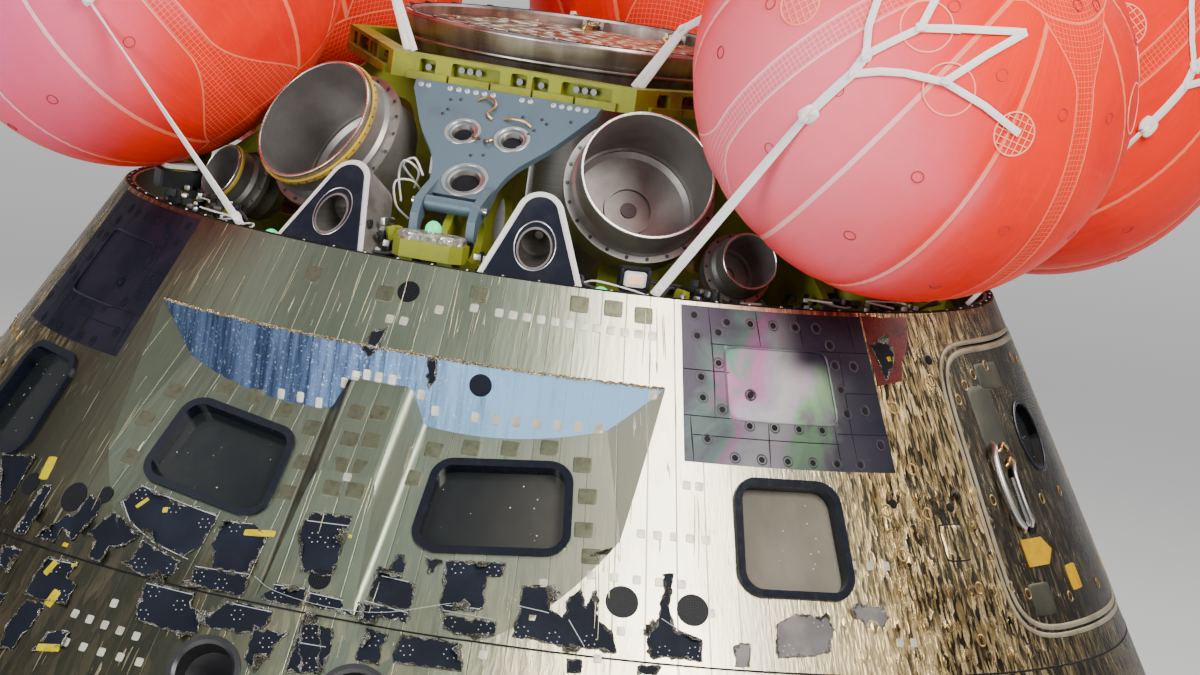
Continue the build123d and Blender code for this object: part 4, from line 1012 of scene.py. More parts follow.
# Longitude and latitude of the small stamped rings, the plain circles and the netted patches
SMALL_RINGS = [(-168.1, -9.7), (161.3, -8.8), (160.7, 17.7), (129.7, 16.3), (130.9, -10.2), (100.2, -13.6),
               (127.2, 49.5), (95.9, 46.5), (68.7, 44.3), (98.7, 13.2), (66.7, 7.9), (160.4, 53.8),
               (80.1, 74.7), (53.1, 72.3), (-167.6, 11.5), (36.0, 16.0), (36.0, -12.0), (7.0, 16.0),
               (7.0, -12.0), (-20.0, 14.0), (-20.0, -12.0), (-52.0, 14.0), (-52.0, -12.0), (-82.0, 14.0),
               (-82.0, -12.0), (-112.0, 14.0), (-112.0, -12.0), (-140.0, 14.0), (-140.0, -12.0),
               (20.0, 46.0), (-35.0, 46.0), (-95.0, 46.0), (-140.0, 46.0)]
PLAIN_RINGS = [(139.3, 38.5), (160.0, 45.1), (44.5, 38.5), (-15.5, 38.5), (-75.5, 38.5), (-135.5, 38.5)]
NET_PATCHES = [(112.5, 38.2), (-172.7, 19.4), (22.0, 38.2), (-45.0, 38.2), (-105.0, 38.2)]


def bag_marks(az):
    """Rings and netted patches of one airbag: small dark rings, pale circles, pale grids."""
    dark = [rings_on(bag_place(az, *zip(*SMALL_RINGS)), 0.019, 0.0028, 0.0016, 24)]
    pale = [rings_on(bag_place(az, *zip(*PLAIN_RINGS)), 0.082, 0.005, 0.002, 48)]
    pale.append(rings_on(bag_place(az, *zip(*NET_PATCHES)), 0.070, 0.005, 0.002, 48))
    for lon, lat in NET_PATCHES:
        place = bag_place(az, lon, lat)
        for k in (-2, -1, 0, 1, 2):
            half = math.sqrt(0.070 ** 2 - (k * 0.023) ** 2)
            t = np.linspace(-half, half, 9)[None, None, :]
            for x, y in ((t, k * 0.023 + 0 * t), (k * 0.023 + 0 * t, t)):
                line = place(x, y, 0 * t)[0, 0]
                out = unit(line - bag_axes(az)[0])
                pale.append(ribbon(line, out, 0.0035, 0.0016))
    return dark, pale


# The skin
# Planes cut into the cone round each front window: a point in metres, azimuth and elevation. Then
# the rib between them: its foot, its fall and half width, the fall of its sides and its way to the rim.
BAY_PLANES = (((0.4526, -1.7406, 1.8761), 10.27, 38.43), ((0.865, -1.696, 1.839), -7.3, 32.7))
RIB_FOOT_Z, RIB_FALL, RIB_HALF_WIDTH, RIB_SIDE_FALL, RIB_TOP_GAP = 1.908, 0.172, 0.115, 2.5, 0.25


def bay_depth(az, z):
    """How far the window bay lies under the outer cone, along the cone's normal: the least of the
    ways to its two planes and its upright wall. The rib between the windows rises above that."""
    az = np.abs(az)
    r = (APEX_Z - z) * SLOPE
    spot, inward = polar(az, r, z), -cone_normal(az)
    way = (r - BAY_WALL_R) / math.cos(HALF_ANGLE)
    for point, plane_az, elevation in BAY_PLANES:
        normal = facing(plane_az, elevation)
        way = np.minimum(way, ((spot - point) @ normal) / -(inward @ normal))
    beside = np.maximum(np.abs(r * np.radians(az)) - RIB_HALF_WIDTH, 0.0)
    rib = np.maximum(RIB_FALL * (z - RIB_FOOT_Z), 0.0) + RIB_SIDE_FALL * beside
    way = np.where(z < RIM_Z - RIB_TOP_GAP, np.minimum(way, rib), way)
    return np.where(z < SEAM_Z, 0.0, np.maximum(way, 0.0))


def on_skin(az, z, lift=0.0):
    """Points above the shell's real surface, bay and rib included."""
    return on_cone(az, z, lift=lift - bay_depth(az, z))


def skin_place(az, z, turn=0.0):
    """Places on the shell for pads, each turned by degrees about its own normal."""
    az, z, turn = (np.atleast_1d(np.asarray(v, float))[:, None, None] for v in (az, z, turn))
    turn = np.radians(turn)

    def place(x, y, lift):
        level = x * np.cos(turn) - y * np.sin(turn)
        height = z + (x * np.sin(turn) + y * np.cos(turn)) * math.cos(HALF_ANGLE)
        return on_skin(az + np.degrees(level / ((APEX_Z - height) * SLOPE)), height, lift)
    return place


def ragged(outline, step, rough, seed):
    """An outline in metres, cut into short steps whose points are pushed sideways by a rough line:
    the sum of sines of rising rate and falling size, with a torn bite here and there."""
    rng = np.random.default_rng(seed)
    outline = np.asarray(outline, float)
    ahead = np.roll(outline, -1, 0) - outline
    length = np.linalg.norm(ahead, axis=1)
    counts = np.maximum((length / step).astype(int), 1)
    edge = np.repeat(np.arange(len(outline)), counts)
    share = np.concatenate([np.arange(c) / c for c in counts])
    points = outline[edge] + ahead[edge] * share[:, None]
    sideways = np.stack([-ahead[edge, 1], ahead[edge, 0]], -1) / length[edge, None]
    t = np.arange(len(points)) * step
    push = sum(np.sin(t * rate + rng.uniform(0, 6.3)) * size for rate, size in
               ((40.0, 1.0), (95.0, 0.7), (230.0, 0.45), (510.0, 0.3)))
    bites = np.where(rng.random(len(points)) < 0.10, rng.uniform(-3.0, 3.0, len(points)), 0.0)
    calm = np.where(rng.random(len(outline)) < 0.35, 0.15, 1.0)[edge]
    return points + sideways * ((push + bites) * rough * calm)[:, None]


def inside(points, outline):
    """Whether points lie in an outline: a line to the right of each crosses it an odd number of times."""
    x, y = points[:, 0, None], points[:, 1, None]
    x0, y0 = outline[None, :, 0], outline[None, :, 1]
    x1, y1 = np.roll(outline[:, 0], -1)[None], np.roll(outline[:, 1], -1)[None]
    rise = np.where(np.abs(y1 - y0) < 1e-9, 1e-9, y1 - y0)
    cross = ((y0 > y) != (y1 > y)) & (x < (x1 - x0) * (y - y0) / rise + x0)
    return cross.sum(1) % 2 == 1


def sheet_in(outline, to_space, lift, sink, pitch=0.035):
    """Closed thin sheet inside an outline: one net of triangles above the shell, the same one below
    it, and a wall round the edge."""
    low, high = outline.min(0), outline.max(0)
    grid = np.stack(np.meshgrid(np.arange(low[0], high[0], pitch), np.arange(low[1], high[1], pitch)), -1)
    grid = grid.reshape(-1, 2)
    grid = grid[inside(grid, outline)]
    count = len(outline)
    flat = [Vector(p) for p in np.concatenate([outline, grid]).tolist()]
    loop = [(i, (i + 1) % count) for i in range(count)]
    points, _, faces, _, _, _ = delaunay_2d_cdt(flat, loop, [], 1, 1e-6)
    points = np.array([tuple(p) for p in points])
    faces = np.array(faces)
    ordered, counts = np.unique(np.sort(np.concatenate(
        [faces[:, [0, 1]], faces[:, [1, 2]], faces[:, [2, 0]]]), axis=1), axis=0, return_counts=True)
    rim = ordered[counts == 1]
    n = len(points)
    walls = np.stack([rim[:, 0], rim[:, 1], rim[:, 1] + n, rim[:, 0] + n], -1)
    top, bottom = to_space(points, lift), to_space(points, -sink)
    return np.concatenate([top, bottom]), faces.tolist() + (faces[:, ::-1] + n).tolist() + walls.tolist()


# Torn places, as corners of azimuth and height. The first list shows navy tiles, the second grey
# ones and the third black ones in a deeper hole.
TEARS_NAVY = [
    [(-22, 1.692), (-21.1, 1.766), (-17.1, 1.747), (-11.9, 1.74), (-11.7, 1.718), (-12, 1.641),
     (-12.9, 1.587), (-16.3, 1.606), (-18.5, 1.626), (-20.6, 1.661)],
    [(-17.7, 1.607), (-13, 1.576), (-13, 1.532), (-15.7, 1.506), (-18.6, 1.526), (-17.6, 1.539)],
    [(-22.1, 1.664), (-18.1, 1.617), (-18.9, 1.578), (-20.5, 1.562), (-20.7, 1.51), (-22, 1.513),
     (-22.4, 1.564), (-23.6, 1.578)],
    [(-11.1, 1.729), (-8, 1.739), (-6, 1.705), (-6.1, 1.585), (-9.7, 1.578), (-10.9, 1.649)],
    [(-11.5, 1.571), (-6, 1.582), (-5.7, 1.516), (-11.1, 1.517)],
    [(-32.3, 1.672), (-31.1, 1.681), (-30.7, 1.521), (-32.5, 1.52)],
    [(-25.9, 1.688), (-24.3, 1.684), (-23.6, 1.637), (-25, 1.548), (-26.8, 1.574), (-26.9, 1.527),
     (-29.3, 1.525), (-29.1, 1.557), (-26.2, 1.631)],
    [(-41.8, 1.713), (-36, 1.74), (-35.7, 1.583), (-37, 1.584)],
    [(-26.5, 1.484), (-22.9, 1.493), (-23.3, 1.445), (-21.8, 1.431), (-22, 1.371), (-25, 1.36),
     (-27, 1.363), (-26.9, 1.429)],
    [(-26.3, 1.349), (-23.9, 1.356), (-24.8, 1.2), (-26.4, 1.206), (-26.9, 1.26)],
    [(-22.2, 1.286), (-20, 1.298), (-20.2, 1.252), (-22.7, 1.215)],
    [(-15.2, 1.494), (-10.1, 1.494), (-9.8, 1.452), (-8.5, 1.443), (-8.5, 1.382), (-9.7, 1.372),
     (-14.5, 1.38)],
    [(-6.8, 1.494), (-2.5, 1.494), (-2.6, 1.447), (-4.6, 1.409), (-8.1, 1.411), (-8.3, 1.432)],
    [(-3.7, 1.439), (-0.6, 1.436), (-1.6, 1.393), (-1.4, 1.353), (-2, 1.337), (-2.3, 1.311), (-3.6, 1.348)],
    [(-4.1, 1.57), (-0.3, 1.576), (-0.3, 1.516), (-3.9, 1.517)],
    [(0.2, 1.483), (1.9, 1.476), (3, 1.346), (0.2, 1.328)],
    [(-33, 1.473), (-30, 1.476), (-30.1, 1.403), (-31.9, 1.422)],
    [(-2.1, 1.791), (1.9, 1.799), (1.8, 1.759), (1.7, 1.622), (-1.3, 1.616), (-2.7, 1.736)],
    [(0, 1.567), (4.8, 1.562), (4.7, 1.517), (3.1, 1.522), (2, 1.525), (0.2, 1.525)],
    [(5.2, 1.68), (7.1, 1.673), (8.9, 1.646), (9, 1.565), (5.2, 1.578)],
    [(6.6, 1.731), (7.6, 1.708), (7.7, 1.677), (6.2, 1.671)],
    [(4.9, 1.563), (8.9, 1.57), (9, 1.533), (6.9, 1.529), (5.9, 1.513), (5.1, 1.526)],
    [(9.2, 1.736), (10.9, 1.732), (10.1, 1.687)],
    [(11.2, 1.734), (16.6, 1.751), (16.3, 1.706), (15.2, 1.702), (15.2, 1.596), (11.6, 1.582), (11.3, 1.671)],
    [(11.9, 1.574), (16.6, 1.567), (16.6, 1.53), (15.1, 1.512), (12.2, 1.532)],
    [(18.4, 1.685), (20.6, 1.695), (21.1, 1.622), (22.3, 1.604), (22.4, 1.651), (23.5, 1.69), (24.2, 1.641),
     (24.8, 1.689), (25.4, 1.605), (26.6, 1.585), (27.1, 1.524), (22.7, 1.524), (18.2, 1.534), (18.4, 1.626)],
    [(0.4, 1.484), (3, 1.471), (3.5, 1.426), (3.1, 1.346), (1.4, 1.336), (0.4, 1.443)],
    [(5.8, 1.494), (7.8, 1.487), (7.7, 1.463), (7.3, 1.449), (7.7, 1.396), (5.6, 1.399)],
    [(8.9, 1.494), (14.1, 1.492), (14.4, 1.415), (8.7, 1.410), (8.5, 1.432)],
    [(22.9, 1.494), (24.2, 1.49), (24.2, 1.456), (23, 1.451)],
    [(31.1, 1.76), (32, 1.763), (31.9, 1.713), (31.8, 1.649), (32.3, 1.60), (33.2, 1.598), (34.7, 1.582),
     (34.6, 1.524), (30.1, 1.52), (29.7, 1.579), (30.8, 1.634), (31.2, 1.711)],
    [(29, 1.499), (31, 1.494), (30.6, 1.473), (28.9, 1.467)],
    [(-36.5, 1.47), (-34.6, 1.48), (-34.8, 1.31), (-36.9, 1.28)],
    [(-41, 1.46), (-38.4, 1.47), (-38.8, 1.36), (-41.5, 1.38)],
    [(-2.2, 2.345), (-0.6, 2.36), (-0.9, 2.30), (-1.9, 2.27), (-2.8, 2.28)],
    [(4.9, 2.29), (5.9, 2.30), (6.1, 2.24), (5.3, 2.215)],
    [(-46, 1.70), (-43.4, 1.73), (-43.0, 1.56), (-45.6, 1.54)],
    [(-31, 1.33), (-28.8, 1.35), (-29.2, 1.18), (-31.4, 1.16)],
]
TEARS_GREY = [
    [(44, 1.674), (47.3, 1.671), (47.6, 1.633), (47, 1.569), (45.1, 1.556), (41.7, 1.545), (41.9, 1.643)],
    [(37.7, 1.577), (39.2, 1.581), (38.9, 1.511), (37.7, 1.514)],
    [(50.2, 1.69), (51.0, 1.72), (51.2, 1.70), (53.5, 1.707), (54, 1.672), (53.3, 1.649), (51.4, 1.642),
     (50.5, 1.666)],
]
TEARS_BLACK = [
    [(59.6, 2.47), (62.6, 2.475), (63.4, 2.44), (62.6, 2.40), (61.0, 2.36), (60.4, 2.41)],
    [(24.2, 1.79), (26.4, 1.818), (25.9, 1.80)],
]
# The dark red tape beside the black hole
RED_TAPE = [(59.25, 2.548), (67.5, 2.548), (66.5, 2.47), (64.6, 2.42), (63.6, 2.36), (59.4, 2.345)]


def flat_outline(corners):
    """Corners of azimuth and height as metres about their middle, and the way back to the shell."""
    corners = np.asarray(corners, float)
    az0, z0 = corners.mean(0)
    r0 = (APEX_Z - z0) * SLOPE

    def to_space(points, lift):
        return on_skin(az0 + np.degrees(points[:, 0] / r0), z0 + points[:, 1] * math.cos(HALF_ANGLE), lift)
    x = np.radians(corners[:, 0] - az0) * r0
    return np.stack([x, (corners[:, 1] - z0) / math.cos(HALF_ANGLE)], -1), to_space


def torn_lip(line, to_space, width, lift, seed):
    """Torn edge of the tape round a hole: a thin strip along the outline whose far edge lifts off
    the shell and whose width wanders, in a closed section of four points."""
    rng = np.random.default_rng(seed)
    count = len(line)
    along = unit(np.roll(line, -1, 0) - np.roll(line, 1, 0))
    out = np.stack([along[:, 1], -along[:, 0]], -1)
    t = np.arange(count)
    wander = 0.55 + 0.45 * np.sin(t * 0.9 + rng.uniform(0, 6)) * np.sin(t * 0.37 + rng.uniform(0, 6))
    wander = wander * (0.6 + 0.8 * rng.random(count))
    reach = (width * wander)[:, None]
    raised = lift * (0.25 + wander) * (0.5 + rng.random(count))
    rows = [to_space(line - out * 0.15 * reach, raised), to_space(line + out * reach, TAPE_THICK),
            to_space(line + out * reach, -0.001), to_space(line - out * 0.15 * reach, raised - TAPE_THICK)]
    return np.stack(rows, 1).reshape(-1, 3), grid_faces(count, 4, close_rows=True, close_columns=True)


def flap(line, to_space, start, span, reach, curl, seed):
    """Torn tongue of tape hinged on a piece of an outline: its points run away from the hole and
    curl up, and its free edge is cut by a rough line. Its underside lies a tape's thickness below."""
    rng = np.random.default_rng(seed)
    span = min(span, len(line) // 3)
    base = np.take(line, range(start, start + span), axis=0, mode="wrap")
    along = unit(np.gradient(base, axis=0)).mean(0)
    out = np.array([along[1], -along[0]]) * rng.choice((-1.0, 1.0))
    t = np.linspace(0, 1, 5)[None, :]
    own = (0.4 + 0.6 * np.sin(np.linspace(0.3, 2.8, span))) * (0.6 + 0.7 * rng.random(span))
    skew = rng.uniform(-0.3, 0.3)
    x = base[:, None, :] + (out + along * skew) * (reach * own[:, None] * np.sin(t * curl) / curl)[..., None]
    lift = 0.002 + reach * own[:, None] * (1 - np.cos(t * curl)) / curl
    flat, lift = x.reshape(-1, 2), lift.reshape(-1)
    return to_space(flat, lift), to_space(flat, lift - TAPE_THICK), grid_faces(span, 5)


def closed_flap(made):
    """Both sides of a flap and the wall round its four edges."""
    top, bottom, faces = made
    n = len(top)
    edge = np.concatenate([np.arange(4), np.arange(4, n - 1, 5), np.arange(n - 1, n - 5, -1),
                           np.arange(n - 5, 0, -5)])
    ahead = np.roll(edge, -1)
    walls = np.stack([edge, ahead, ahead + n, edge + n], -1)
    return np.concatenate([top, bottom]), faces.tolist() + (faces[:, ::-1] + n).tolist() + walls.tolist()


def tears(groups, skin):
    """Holes in the tape by kind, and the torn edges and tongues round all of them."""
    holes, edges = {}, []
    seed = 10
    for kind, rows, lift in groups:
        holes[kind] = []
        for corners in rows:
            seed += 1
            outline, to_space = flat_outline(corners)
            line = ragged(outline, 0.009, skin.tear_rough, seed)
            holes[kind].append(sheet_in(line, to_space, lift, 0.002))
            edges.append(torn_lip(line, to_space, 0.011, 0.004, seed))
            for k in range(int(len(line) / 34)):
                start = (seed * 7 + k * 37) % len(line)
                reach = 0.018 + 0.030 * ((seed * 13 + k * 5) % 7) / 7
                edges.append(closed_flap(flap(line, to_space, start, 7, reach, 1.2 + 0.4 * (k % 3),
                                              seed * 9 + k)))
    return holes, edges


def run(count, x, y, step, rise=0.0):
    """Places at equal steps on a line."""
    return [(x + step * k, y + rise * k) for k in range(count)]


# Pale squares and brown plug squares of tape, and marks on the bare tiles: azimuth and height
PALE_SQUARES = (
    run(7, 11.0, 2.169, 2.27, 0.0022) + [(6.5, 2.169), (4.7, 2.201), (30.1, 2.277), (-12.0, 2.14)]
    + [(-9.5, 2.142), (-7.1, 2.138), (-4.3, 2.197), (-3.1, 2.218), (-1.8, 2.226), (-0.4, 2.225)]
    + [(1.2, 2.225), (0.2, 1.908)]
    + run(12, 11.7, 2.454, 1.646, -0.0008) + [(4.7, 2.435), (8.7, 2.457), (-0.7, 2.384), (1.0, 2.385)]
    + run(5, 29.0, 1.868, 1.6) + run(5, 24.5, 1.735, 2.1) + run(5, -20.5, 1.352, 1.7, -0.004)
    + run(5, -20.0, 1.268, 1.9) + run(3, 51.0, 1.82, 2.0) + [(54.8, 1.60), (56.4, 1.60), (33.6, 2.02)]
    + [(34.9, 2.02), (15.9, 1.47), (20.3, 1.70), (27.4, 1.585), (25.5, 1.50), (35.6, 1.66), (-17.2, 1.41)])
BROWN_SQUARES = [(-19, 2.121), (-15.1, 2.115), (-10.8, 2.095), (-6.7, 2.06), (7.3, 2.062), (11.1, 2.087),
                 (15.3, 2.1), (19.5, 2.115), (23.1, 2.069), (23.8, 1.973), (23.6, 1.87), (5.9, 1.965),
                 (-1.4, 2.109), (1.1, 2.12), (-1.0, 2.023), (1.3, 2.031), (-1.0, 1.941), (1.3, 1.945),
                 (-0.9, 1.867), (1.4, 1.872), (-24.5, 2.06), (-25.3, 1.95), (-5.9, 1.95), (-6.2, 1.85),
                 (24.4, 1.79), (-24.0, 1.83), (20.9, 2.512), (25.0, 2.512), (28.7, 2.502), (-2.2, 2.455),
                 (8.9, 2.500), (-12.0, 2.47)]
DOT_RINGS = [(-20.6, 1.735), (-16.5, 1.725), (-12.8, 1.705), (-13.4, 1.55), (-16.6, 1.54), (-9.6, 1.715),
             (-10.6, 1.545), (-8.2, 1.54), (-2.6, 1.545), (-1.0, 1.72), (0.6, 1.715), (1.6, 1.54),
             (3.8, 1.54), (6.2, 1.545), (8.2, 1.55), (12.4, 1.715), (15.6, 1.72), (12.6, 1.55),
             (15.7, 1.545), (18.9, 1.55), (21.6, 1.545), (24.8, 1.55), (-31.7, 1.54), (-28.2, 1.54),
             (-25.1, 1.46), (-22.9, 1.39), (-13.9, 1.47), (-11.0, 1.45), (-14.0, 1.40), (1.2, 1.45),
             (2.2, 1.37), (6.6, 1.46), (9.6, 1.45), (13.2, 1.46), (31.2, 1.54), (33.9, 1.545),
             (46.2, 1.655), (42.8, 1.57), (-5.5, 1.46), (-2.2, 1.40)]
TILE_LINES = [((-21.9, 1.700), (-19.9, 1.648)), ((-19.9, 1.648), (-16.6, 1.610)),
              ((-16.6, 1.610), (-12.4, 1.588)), ((-21.0, 1.760), (-11.9, 1.735)),
              ((-11.1, 1.726), (-8.0, 1.735)), ((-11.4, 1.573), (-6.0, 1.584)),
              ((-2.2, 1.763), (1.8, 1.770)), ((0.1, 1.562), (4.7, 1.557)), ((5.0, 1.572), (8.9, 1.560)),
              ((11.5, 1.585), (16.5, 1.576)), ((-15.0, 1.488), (-10.2, 1.488)),
              ((-4.0, 1.565), (-0.4, 1.570)), ((0.5, 1.418), (2.9, 1.420)), ((18.3, 1.625), (21.0, 1.612)),
              ((-6.6, 1.488), (-2.6, 1.488)), ((22.8, 1.60), (24.3, 1.53)), ((5.8, 1.655), (8.3, 1.652)),
              ((31.0, 1.632), (33.2, 1.594)), ((-26.3, 1.478), (-23.0, 1.486)),
              ((12.0, 1.60), (15.0, 1.603))]
YELLOW_TAPES = [((-33.2, 1.722), 0.044, 0.085, 10), ((-19.9, 1.712), 0.014, 0.048, -28),
                ((-17.3, 1.712), 0.018, 0.020, 20), ((-6.9, 1.712), 0.110, 0.024, 8),
                ((-25.6, 1.455), 0.026, 0.056, -20), ((-23.2, 1.482), 0.022, 0.012, 30),
                ((-23.6, 1.375), 0.036, 0.060, -12), ((-21.4, 1.238), 0.092, 0.026, 12),
                ((-25.4, 1.53), 0.022, 0.014, 0), ((2.2, 1.742), 0.012, 0.012, 0),
                ((62.3, 2.425), 0.018, 0.016, 10)]


def patch_strips(lines, width, lift):
    """Thin lines on the shell from one place to another."""
    strips = []
    t = np.linspace(0, 1, 14)
    for (az0, z0), (az1, z1) in lines:
        az, z = az0 + (az1 - az0) * t, z0 + (z1 - z0) * t
        strips.append(ribbon(on_skin(az, z, lift), cone_normal(az), width, TAPE_THICK))
    return strips


def level_strips(rows, width, lift, thick=0.0012):
    """Strips of tape round the shell: height, first and last azimuth."""
    strips = []
    for z, az0, az1 in rows:
        az = np.linspace(az0, az1, max(int(abs(az1 - az0) * 2), 8))
        strips.append(ribbon(on_skin(az, z + 0 * az, lift), cone_normal(az), width, thick))
    return strips


def slope_strips(rows, width, lift, thick=0.0012):
    """Creases up the slope: azimuth, lower and upper height, in a strip that narrows to its ends."""
    strips = []
    for az, z0, z1 in rows:
        z = np.linspace(z0, z1, max(int((z1 - z0) / 0.03), 6))
        taper = 0.25 + 0.75 * np.sin(np.linspace(0.05, math.pi - 0.05, len(z)))
        lean = az + 0.25 * np.sin(z * 9 + az)
        strips.append(ribbon(on_skin(lean, z, lift), cone_normal(lean), width, thick, scale=taper))
    return strips


def creases(count, seed):
    """Long raised creases in the tape, clear of the windows, for azimuths from -33 to 44 degrees."""
    rng = np.random.default_rng(seed)
    az = rng.uniform(-33, 44, count)
    z = rng.uniform(1.52, 2.42, count)
    length = rng.uniform(0.06, 0.34, count)
    top = np.minimum(z + length, 2.53)
    rows = np.stack([az, z, top], -1)
    middle = (z + top) / 2
    window = (np.abs(np.abs(az) - 14.0) < 10.5) & (top > 1.72) & (z < 2.03)
    side = (np.abs(az - 44.5) < 9.0) & (top > 1.70) & (z < 2.07)
    wall = (np.abs(az) < 32) & (top > 2.03) & (z < 2.33)
    panel = (az > 32.5) & (top > 2.08)
    return rows[~(window | side | wall | panel) & (middle < 2.55)]


def crumpled_edge(az0, az1, r, z, size, seed):
    """Crumpled roll of foil along a level edge: a round section whose size and place wander."""
    rng = np.random.default_rng(seed)
    az = np.arange(az0, az1, 0.22)
    path = polar(az, r + rng.normal(0, size * .22, len(az)), z + rng.normal(0, size * .25, len(az)))
    out = facing(az, 0.0)
    up = np.broadcast_to(UP, out.shape)
    return swept(path, out, up, round_section(size, 7), rng.uniform(0.65, 1.25, len(az)))


# Access panels and hatch
PANEL_LINES_UP = [(34.4, 2.09, 2.225), (36.9, 2.225, 2.548), (43.2, 2.09, 2.222), (43.2, 2.44, 2.548),
                  (51.5, 2.09, 2.222), (54.2, 2.12, 2.44), (49.0, 2.44, 2.548), (57.0, 2.44, 2.548)]
PANEL_LINES_LEVEL = [(2.225, 33.4, 39.0), (2.36, 33.4, 39.0), (2.17, 34.4, 52.0), (2.44, 36.9, 59.0),
                     (2.20, 52.0, 59.0), (2.32, 54.2, 59.0)]
PLUGS = ([(35.0, 2.52), (35.3, 2.46), (35.6, 2.34), (35.7, 2.28), (36.0, 2.16), (38.0, 2.475), (37.9, 2.25)]
         + [(37.8, 2.385)] + run(5, 39.2, 2.508, 3.1) + run(4, 41.0, 2.208, 3.0) + run(6, 39.0, 2.112, 3.05)
         + [(53.2, 2.46), (53.4, 2.40), (53.6, 2.33), (53.8, 2.26), (56.2, 2.40), (56.5, 2.27), (57.7, 2.17)]
         + [(41.5, 2.30)])
HATCH_PLUGS = [(73.5, 2.30), (76.0, 2.34), (79.0, 2.37), (83.5, 2.39), (96.5, 2.39), (101.0, 2.37),
               (105.0, 2.30), (75.0, 1.72), (84.0, 1.69), (95.0, 1.69), (104.0, 1.72), (74.0, 2.00),
               (106.0, 2.00), (86.0, 1.98), (94.0, 1.98)]
SIDE_PLUGS = [(61.0, 2.28), (61.5, 2.10), (62.2, 1.97), (66.2, 1.88), (67.0, 1.75), (56.6, 1.98),
              (57.4, 1.85), (69.0, 2.36), (65.2, 1.60), (113.0, 2.3), (118.0, 2.1), (113.5, 1.8)]


def dark_seams(side, lift):
    """Joints between the tiles of an access panel, up its slope and level."""
    strips = slope_strips([(az * side, z0, z1) for az, z0, z1 in PANEL_LINES_UP], 0.004, lift, 0.0006)
    strips += level_strips([(z, a * side, b * side) for z, a, b in PANEL_LINES_LEVEL], 0.003, lift, 0.0006)
    return strips


def bead(az, z, section):
    """Closed band along a closed line on the cone."""
    path, out = on_cone(az, z), cone_normal(az)
    along = unit(np.roll(path, -1, 0) - np.roll(path, 1, 0))
    return band(path, np.cross(along, out), out, section)


def port_frame(side):
    """Raised bead round the port: a closed line of azimuth and height with rounded corners."""
    t = turns(96)
    far = rounded(t, 9)
    return bead(side * (PORT_AZ + PORT_HALF_AZ * far * np.cos(t)), PORT_Z + PORT_HALF_Z * far * np.sin(t),
                [(-.004, -.003), (-.004, .001), (0, .0028), (.004, .001), (.004, -.003)])


def plug_parts(spots, radius):
    """A ring and a low disc for each plug."""
    place = skin_place(*np.transpose(spots))
    half = radius * 0.62
    return rings_on(place, radius, 0.0045, 0.0016, 20), pads(place, half, half, 0.0012, 2, 14)


HATCH_AZ, HATCH_HALF, HATCH_Z0, HATCH_Z1 = 90.0, 18.6, 1.600, 2.454


def hatch_line(inset):
    """The hatch's edge as a closed line, moved in by metres, with rounded corners."""
    t = turns(120) + 0.01
    far = rounded(t, 7)
    z = (HATCH_Z0 + HATCH_Z1) / 2 + ((HATCH_Z1 - HATCH_Z0) / 2 - inset * 0.87) * far * np.sin(t)
    half = HATCH_HALF - np.degrees(inset / ((APEX_Z - z) * SLOPE))
    return HATCH_AZ + half * far * np.cos(t), z


def hatch_band(inset, width, thick):
    """Flat band along the hatch's edge, standing a few millimetres off the skin."""
    w = width / 2
    return bead(*hatch_line(inset), [(-w, -.002), (-w, thick * .6), (-w * .6, thick), (w * .6, thick),
                                     (w, thick * .6), (w, -.002)])


def cone_tube(corners, radius, lift, count=24):
    """Rod that follows places of azimuth and height above the skin and dips into it at both ends."""
    corners = np.asarray(corners, float)
    t = np.linspace(0, 1, count)
    line = curve_through(np.concatenate([corners, 0 * corners[:, :1]], 1), count)
    path = on_cone(line[:, 0], line[:, 1], lift=lift * np.minimum(1, np.minimum(t, 1 - t) * 9) - radius * 0.4)
    return tube(path, radius)


def arrow_plate(az, z, long, high):
    """Blank plate whose right edge ends in a point: outline of five corners on the cone."""
    outline = np.array([(-.5, -.5), (.22, -.5), (.5, 0), (.22, .5), (-.5, .5)]) * (long, high)
    lifts = (0.0028, -0.002)
    rings = [on_cone(az, z, outline[:, 0], outline[:, 1], lift) for lift in lifts]
    walls = [[i, i + 5, (i + 1) % 5 + 5, (i + 1) % 5] for i in range(5)]
    return np.concatenate(rings), [[0, 1, 2, 3, 4], [9, 8, 7, 6, 5]] + walls


# Forward bay
PLATE_ORIGIN, PLATE_ELEVATION, PLATE_FACE = np.array([0.0, -0.751, 3.0566]), 50.7, 0.0223
CANS = {"large": dict(az=30.3, r=1.148, z=2.909, face=(27.5, 29.9), radius=0.219, depth=0.300,
                      flange=(0.135, 0.250)),
        "small": dict(az=46.6, r=1.268, z=2.677, face=(38.4, 22.8))}


def plate_axes():
    out = facing(0.0, PLATE_ELEVATION)
    right = np.array([1.0, 0.0, 0.0])
    return right, np.cross(out, right), out


def on_plate(x, y, lift=0.0):
    """Points of the sloping plate's outer face, x level and y up its slope from its top edge."""
    right, up, out = plate_axes()
    x, y, lift = np.broadcast_arrays(np.asarray(x, float), y, lift)
    return PLATE_ORIGIN + x[..., None] * right + y[..., None] * up + (lift + PLATE_FACE)[..., None] * out


def can_axis(kind, side):
    """Middle of a can's mouth and its facing."""
    can = CANS[kind]
    return polar(can["az"] * side, can["r"], can["z"]), facing(can["face"][0] * side, can["face"][1])


def bolts(origin, axis, radius, count, size, high, start=0.0, sweep=360.0):
    """Low round heads on a circle about an axis."""
    axis = unit(np.asarray(axis, float))
    seed = np.array([0, 0, 1.0])
    right = unit(np.cross(seed, axis))
    front = np.cross(axis, right)
    t = np.radians(start + np.arange(count) * sweep / count)
    spots = np.asarray(origin, float) + radius * (np.cos(t)[:, None] * right + np.sin(t)[:, None] * front)
    return pads(flat_place(spots, right, front), size, size, high, 2, 10)


